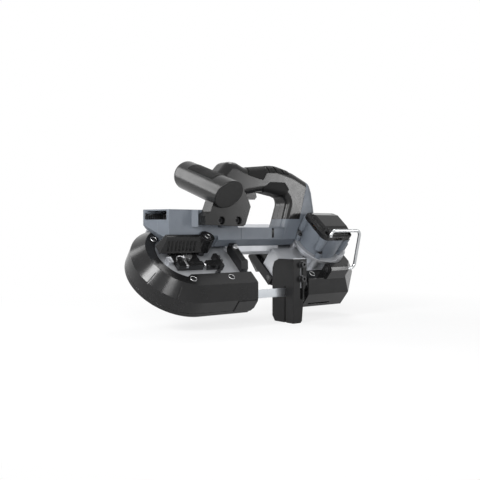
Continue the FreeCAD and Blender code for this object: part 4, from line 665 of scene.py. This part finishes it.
# the dark plate is painted shade for the dark seen through the long slot
shade = addBlock("stopShade", stopShade["low"], stopShade["high"])
sinkFaces(shade, frontFaces, stopShade["rim"], stopShade["depth"])
roundEdges(shade, stopShade["soft"])
finishPiece(shade, "casingBlack", "frame")
print("stop lips and shade made")

# Tension carriage: spring clip, strap, wound spring, side lug and adjusting knobs

carriageClip = dict(centre=(-130.6, -8.0), radius=6.6, wire=1.1, height=26.0, gap=(188, 230))


def inClipGap(face):             # by its angle round the clip, in degrees
    x, y = face.calc_center_median().xy / mm - Vector(carriageClip["centre"])
    return carriageClip["gap"][0] < math.degrees(math.atan2(y, x)) % 360 < carriageClip["gap"][1]


clip = addRing("carriageClip", carriageClip["radius"], carriageClip["wire"],
               (*carriageClip["centre"], carriageClip["height"]))
openRing(clip, inClipGap)
finishPiece(seatInLoop(clip), "brightSteel", "carriage")

carriageStrap = dict(low=(-129.4, -24.6, 25.0), high=(-126.6, -8.5, 29.2), roomLow=(-130.4, -23.9, 24.0),
                     roomHigh=(-125.6, -9.2, 28.5), soft=0.25)   # the room leaves walls of 0.7
strap = addBlock("carriageStrap", carriageStrap["low"], carriageStrap["high"])
cutWith(strap, addBlock("strapRoom", carriageStrap["roomLow"], carriageStrap["roomHigh"]))
roundEdges(strap, carriageStrap["soft"])
finishPiece(seatInLoop(strap), "brightSteel", "carriage")

coil = dict(start=(-100.09, -19.5, 23.7), radius=2.9, wire=0.6, wireSides=12, pitch=4.634, turns=5, steps=28,
            merge=0.01, fixedEnd=-76.3, kept=0.79)
clearSelection()
bpy.ops.mesh.primitive_circle_add(vertices=coil["wireSides"], radius=coil["wire"] * mm,
                                  location=(coil["radius"] * mm, 0, 0), rotation=(math.pi / 2, 0, 0))
spring = takeNew("springCoil")
wind = spring.modifiers.new("wound", "SCREW")
wind.steps = coil["steps"]
wind.render_steps = coil["steps"]
wind.iterations = coil["turns"]
wind.screw_offset = coil["pitch"] * mm
applyModifier(spring, wind)
pickFaces(spring, everyFace)
bpy.ops.mesh.remove_doubles(threshold=coil["merge"] * mm)
bpy.ops.mesh.fill_holes(sides=0)
bpy.ops.mesh.normals_make_consistent(inside=False)
leaveEdit()
pointAlong(spring, (1, 0, 0), coil["start"])
finishPiece(seatInLoop(spring), "brightSteel", "frame", ["tension_spring"])
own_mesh(spring)

frameLug = dict(low=(-150.0, -12.0, 19.9), high=(-143.0, -1.0, 25.5), rim=1.2, depth=1.0, soft=0.4)
lug = addBlock("frameLug", frameLug["low"], frameLug["high"])
sinkFaces(lug, topFaces, frameLug["rim"], frameLug["depth"])
roundEdges(lug, frameLug["soft"])
finishPiece(seatInLoop(lug), "castSilver", "frame")

adjustKnob = dict(head=dict(radius=3.0, height=5.0, socket=1.3, washer=0.8, sides=24), seat=-70.0,
                  places=[(-4.5, 24.2), (-12.5, 24.2)], upright=(-80.4, -32.0, 20.0))
model = socketScrew("adjustKnob", **adjustKnob["head"])
upright = copyTo(model, "adjustKnobUp", adjustKnob["upright"])
sideways = scatter("adjustKnobs", pointAlong(model, (1, 0, 0)),
                   [(adjustKnob["seat"], d, n) for d, n in adjustKnob["places"]])
finishPiece(seatInLoop(joinAll("adjustKnobs", [sideways, upright])), "blackScrew", "frame")
print("carriage details made")

# Throat bar: sunk panel near its nose and the bolt at its far end

barPanel = dict(low=(-39.0, -23.0, 33.6), high=(-33.0, -13.0, 34.5), soft=0.35, rim=0.9, depth=0.6)
panel = addBlock("barPanel", barPanel["low"], barPanel["high"])
roundEdges(panel, barPanel["soft"])
sinkFaces(panel, topFaces, barPanel["rim"], barPanel["depth"])
finishPiece(seatInLoop(panel), "casingBlack", "frame")

barBolt = dict(head=dict(radius=3.2, height=3.4, socket=1.6, washer=0.8), place=(-36.0, 6.0, 34.0))
bolt = pointAlong(socketScrew("barBolt", **barBolt["head"]), (0, 0, 1), barBolt["place"])
finishPiece(seatInLoop(bolt), "brightSteel", "frame")
print("throat bar details made")

# Rear guide arm: the deep web along its root

armWeb = dict(low=(36.6, 7.0, -25.9), high=(41.0, 44.0, -19.9), cutPoint=(0, 13.6, -25.9),
              cutWays=[(0, 0.172, -0.985), (0, -0.69, -0.72)], rim=0.9, depth=0.5, soft=0.3)
web = addBlock("armWeb", armWeb["low"], armWeb["high"])
for way in armWeb["cutWays"]:
    pickFaces(web, everyFace)
    bpy.ops.mesh.bisect(plane_co=[c * mm for c in armWeb["cutPoint"]], plane_no=way, use_fill=True,
                        clear_outer=True)
    leaveEdit()
sinkFaces(web, leftFaces, armWeb["rim"], armWeb["depth"])
roundEdges(web, armWeb["soft"])
finishPiece(seatInLoop(web), "casingBlack", "frame")
print("guide arm web made")

# Motor end cap: louvred windows on the front and left slopes

louvre = dict(deep=0.9, rim=0.8, sunk=0.3, fins=11, finWidth=1.3, finDrop=0.2,
              windows=[dict(centre=(117.5, -21.2, 85.3), way=(0, -0.479, 0.878), width=38.0, length=11.0),
                       dict(centre=(91.25, 0.0, 85.3), way=(-0.811, 0, 0.586), width=7.0, length=34.0)])
for index, window in enumerate(louvre["windows"]):
    name = "capLouvre" + str(index)
    width, length = window["width"], window["length"]
    pane = addBlock(name, (-width / 2, -length / 2, -louvre["sunk"]), (width / 2, length / 2, louvre["deep"]))
    sinkFaces(pane, topFaces, louvre["rim"], louvre["deep"])
    reach = max(width, length) - 2 * louvre["rim"]
    cross = min(width, length) / 2 - louvre["rim"]
    fins = []
    for fin in range(louvre["fins"]):
        middle = -reach / 2 + (fin + 0.5) * reach / louvre["fins"]
        low = (middle - louvre["finWidth"] / 2, -cross, -louvre["finDrop"])
        high = (middle + louvre["finWidth"] / 2, cross, louvre["deep"] - louvre["finDrop"])
        if length > width:       # fins follow each other along the longer side
            low, high = (low[1], low[0], low[2]), (high[1], high[0], high[2])
        fins.append(addBlock(name + "Fin" + str(fin), low, high))
    pane = pointAlong(joinAll(name, [pane, *fins]), window["way"], window["centre"])
    finishPiece(seatInLoop(pane), "casingBlack", "frame")
print("louvres made")

# Hook: washer, nut and stud end on the left of its block

hookEnd = dict(place=(100.0, -22.2, 32.53), way=(-1, 0, 0),
               washer=dict(radius=7.2, low=0.1, high=1.5), washerRim=0.9, washerDepth=0.4,
               nut=dict(radius=5.4, low=1.1, high=4.4, sides=6), nutSoft=0.5,
               stud=dict(radius=2.5, low=4.0, high=5.8, sides=28), studSoft=0.6)
washer = addRound("hookNut", **hookEnd["washer"])
sinkFaces(washer, topFaces, hookEnd["washerRim"], hookEnd["washerDepth"])
nut = addRound("hookHexNut", **hookEnd["nut"])
roundEdges(nut, hookEnd["nutSoft"])
stud = addRound("hookStud", **hookEnd["stud"])
roundEdges(stud, hookEnd["studSoft"])
hookNut = pointAlong(joinAll("hookNut", [washer, nut, stud]), hookEnd["way"], hookEnd["place"])
finishPiece(hookNut, "blackScrew", "hook")
print("hook end made")

# Body front: key slot and the seam beside the handle bracket

bodyFront = 27.0                 # Y of the body's front wall
keySlot = dict(left=32.9, right=36.5, low=80.6, high=94.2, proud=0.15, sunk=0.6, soft=0.12, rim=0.5,
               depth=0.6)
# the slot is a black plate with a sunk middle: its black is painted shade for the slot's depth
slotShadePlate = addBlock("bodyKeySlot", (keySlot["left"], bodyFront - keySlot["proud"], keySlot["low"]),
                   (keySlot["right"], bodyFront + keySlot["sunk"], keySlot["high"]))
roundEdges(slotShadePlate, keySlot["soft"])
sinkFaces(slotShadePlate, frontFaces, keySlot["rim"], keySlot["depth"])
finishPiece(slotShadePlate, "casingBlack", "frame")

bodySeam = dict(left=-25.2, right=-24.7, low=78.6, high=95.2, proud=0.06, sunk=0.3, soft=0.05)
seam = addBlock("bodySeam", (bodySeam["left"], bodyFront - bodySeam["proud"], bodySeam["low"]),
                (bodySeam["right"], bodyFront + bodySeam["sunk"], bodySeam["high"]))
roundEdges(seam, bodySeam["soft"])
finishPiece(seam, "casingBlack", "frame")
print("body front details made")

# Battery dock: contact rail with three ports and guide ribs on the back wall

dock = dict(wall=66.0, left=-163.0, right=-126.0)
dockRail = dict(depth=2.6, low=114.6, high=118.8, soft=0.5, ports=(-144.8, -136.9, -129.2), portHeight=116.8,
                port=dict(radius=1.5, low=-1, high=1.82, sides=24))
railFront = dock["wall"] - dockRail["depth"]
rail = addBlock("dockRail", (dock["left"], railFront, dockRail["low"]),
                (dock["right"], dock["wall"], dockRail["high"]))
roundEdges(rail, dockRail["soft"])
for x in dockRail["ports"]:
    tool = addRound("dockPort", **dockRail["port"])
    cutWith(rail, pointAlong(tool, (0, 1, 0), (x, railFront, dockRail["portHeight"])))
finishPiece(rail, "bodyGrey", "frame")

dockRib = dict(count=12, width=1.8, depth=2.0, low=107.0, high=113.6, margin=2.0, soft=0.35)
rib = addBlock("dockRib", (-dockRib["width"] / 2, dock["wall"] - dockRib["depth"], dockRib["low"]),
               (dockRib["width"] / 2, dock["wall"], dockRib["high"]))
roundEdges(rib, dockRib["soft"])
firstRib = dock["left"] + dockRib["margin"]
ribPitch = (dock["right"] - dockRib["margin"] - firstRib) / (dockRib["count"] - 1)
ribs = scatter("dockRibs", rib, [(firstRib + index * ribPitch, 0, 0) for index in range(dockRib["count"])])
finishPiece(ribs, "casingBlack", "frame")
print("dock details made")

# Studio: floor, white surround, lamps and camera, in metres

def backgroundRays(tree):        # rays that see the white background
    rays = tree.nodes.new("ShaderNodeLightPath")
    total = rays.outputs["Is Camera Ray"]
    for kind in ("Is Glossy Ray", "Is Transmission Ray"):
        added = tree.nodes.new("ShaderNodeMath")
        added.operation = "ADD"
        added.use_clamp = True
        tree.links.new(total, added.inputs[0])
        tree.links.new(rays.outputs[kind], added.inputs[1])
        total = added.outputs["Value"]
    return total


def mixSurfaces(tree, share, first, second, outputName):
    mix = tree.nodes.new("ShaderNodeMixShader")
    tree.links.new(share, mix.inputs["Fac"])
    tree.links.new(first, mix.inputs[1])
    tree.links.new(second, mix.inputs[2])
    tree.links.new(mix.outputs["Shader"], tree.nodes[outputName].inputs["Surface"])


studio = dict(floorSize=40.0, floorColour=(0.86, 0.86, 0.87), floorRough=0.9, surround=1.0, ambient=0.22,
              shadowShare=0.25, shadowReach=(0.25, 0.6), aim=(0, 0.03, 0.07))
clearSelection()
bpy.ops.mesh.primitive_plane_add(size=studio["floorSize"], location=(0, 0, cadBox[0][2]))
floor = bpy.context.active_object
floor.name = "studioFloor"

floorPaint, floorTree, paper, floorPlace = startFinish("floor paint")
paper.inputs["Base Color"].default_value = (*studio["floorColour"], 1)
paper.inputs["Roughness"].default_value = studio["floorRough"]
glow = addNode(floorTree, "ShaderNodeEmission", Strength=studio["surround"])
away = floorTree.nodes.new("ShaderNodeVectorMath")
away.operation = "LENGTH"
floorTree.links.new(floorPlace, away.inputs[0])
plain = spread(floorTree, away.outputs["Value"], 1 - studio["shadowShare"], 1.0, *studio["shadowReach"])
glowShare = times(floorTree, backgroundRays(floorTree), plain)   # the shadow shows near the saw only
mixSurfaces(floorTree, glowShare, paper.outputs["BSDF"], glow.outputs["Emission"], "Material Output")
floor.data.materials.append(floorPaint)

world = bpy.data.worlds.new("studio surround")
bpy.context.scene.world = world
world.use_nodes = True
worldTree = world.node_tree
ambient = worldTree.nodes["Background"]
ambient.inputs["Color"].default_value = (1, 1, 1, 1)
ambient.inputs["Strength"].default_value = studio["ambient"]
white = addNode(worldTree, "ShaderNodeBackground", Color=(1, 1, 1, 1), Strength=studio["surround"])
mixSurfaces(worldTree, backgroundRays(worldTree), ambient.outputs["Background"], white.outputs["Background"],
            "World Output")

lamps = {                        # power in watts
    "keyLamp": dict(place=(-0.80, -1.10, 0.60), width=0.34, height=0.75, power=11),
    "leftLamp": dict(place=(-1.15, -0.30, 0.70), width=0.34, height=0.38, power=12),
    "farLamp": dict(place=(-0.75, 1.00, 0.60), width=0.30, height=0.90, power=6),
    "topLamp": dict(place=(0.45, 0.35, 1.15), width=0.40, height=0.40, power=5),
    "rightLamp": dict(place=(1.00, -1.02, 0.24), width=0.22, height=0.30, power=4),
}
for lampName, lamp in lamps.items():
    light = bpy.data.lights.new(lampName, "AREA")
    light.energy = lamp["power"]
    light.shape = "RECTANGLE"
    light.size = lamp["width"]
    light.size_y = lamp["height"]
    stand = bpy.data.objects.new(lampName, light)
    bpy.context.scene.collection.objects.link(stand)
    stand.location = lamp["place"]
    sight = Vector(studio["aim"]) - Vector(lamp["place"])
    stand.rotation_euler = sight.to_track_quat("-Z", "Y").to_euler()

shot = dict(place=(-0.60307, -0.74731, 0.09395), tilt=89.008, turn=-36.637, lens=49.877, sensor=36)
camera = bpy.data.cameras.new("photoCamera")
camera.lens = shot["lens"]
camera.sensor_width = shot["sensor"]
tripod = bpy.data.objects.new("photoCamera", camera)
bpy.context.scene.collection.objects.link(tripod)
tripod.location = shot["place"]
tripod.rotation_euler = (math.radians(shot["tilt"]), 0, math.radians(shot["turn"]))
bpy.context.scene.camera = tripod
bpy.context.scene.view_settings.view_transform = "Standard"
print("studio set")
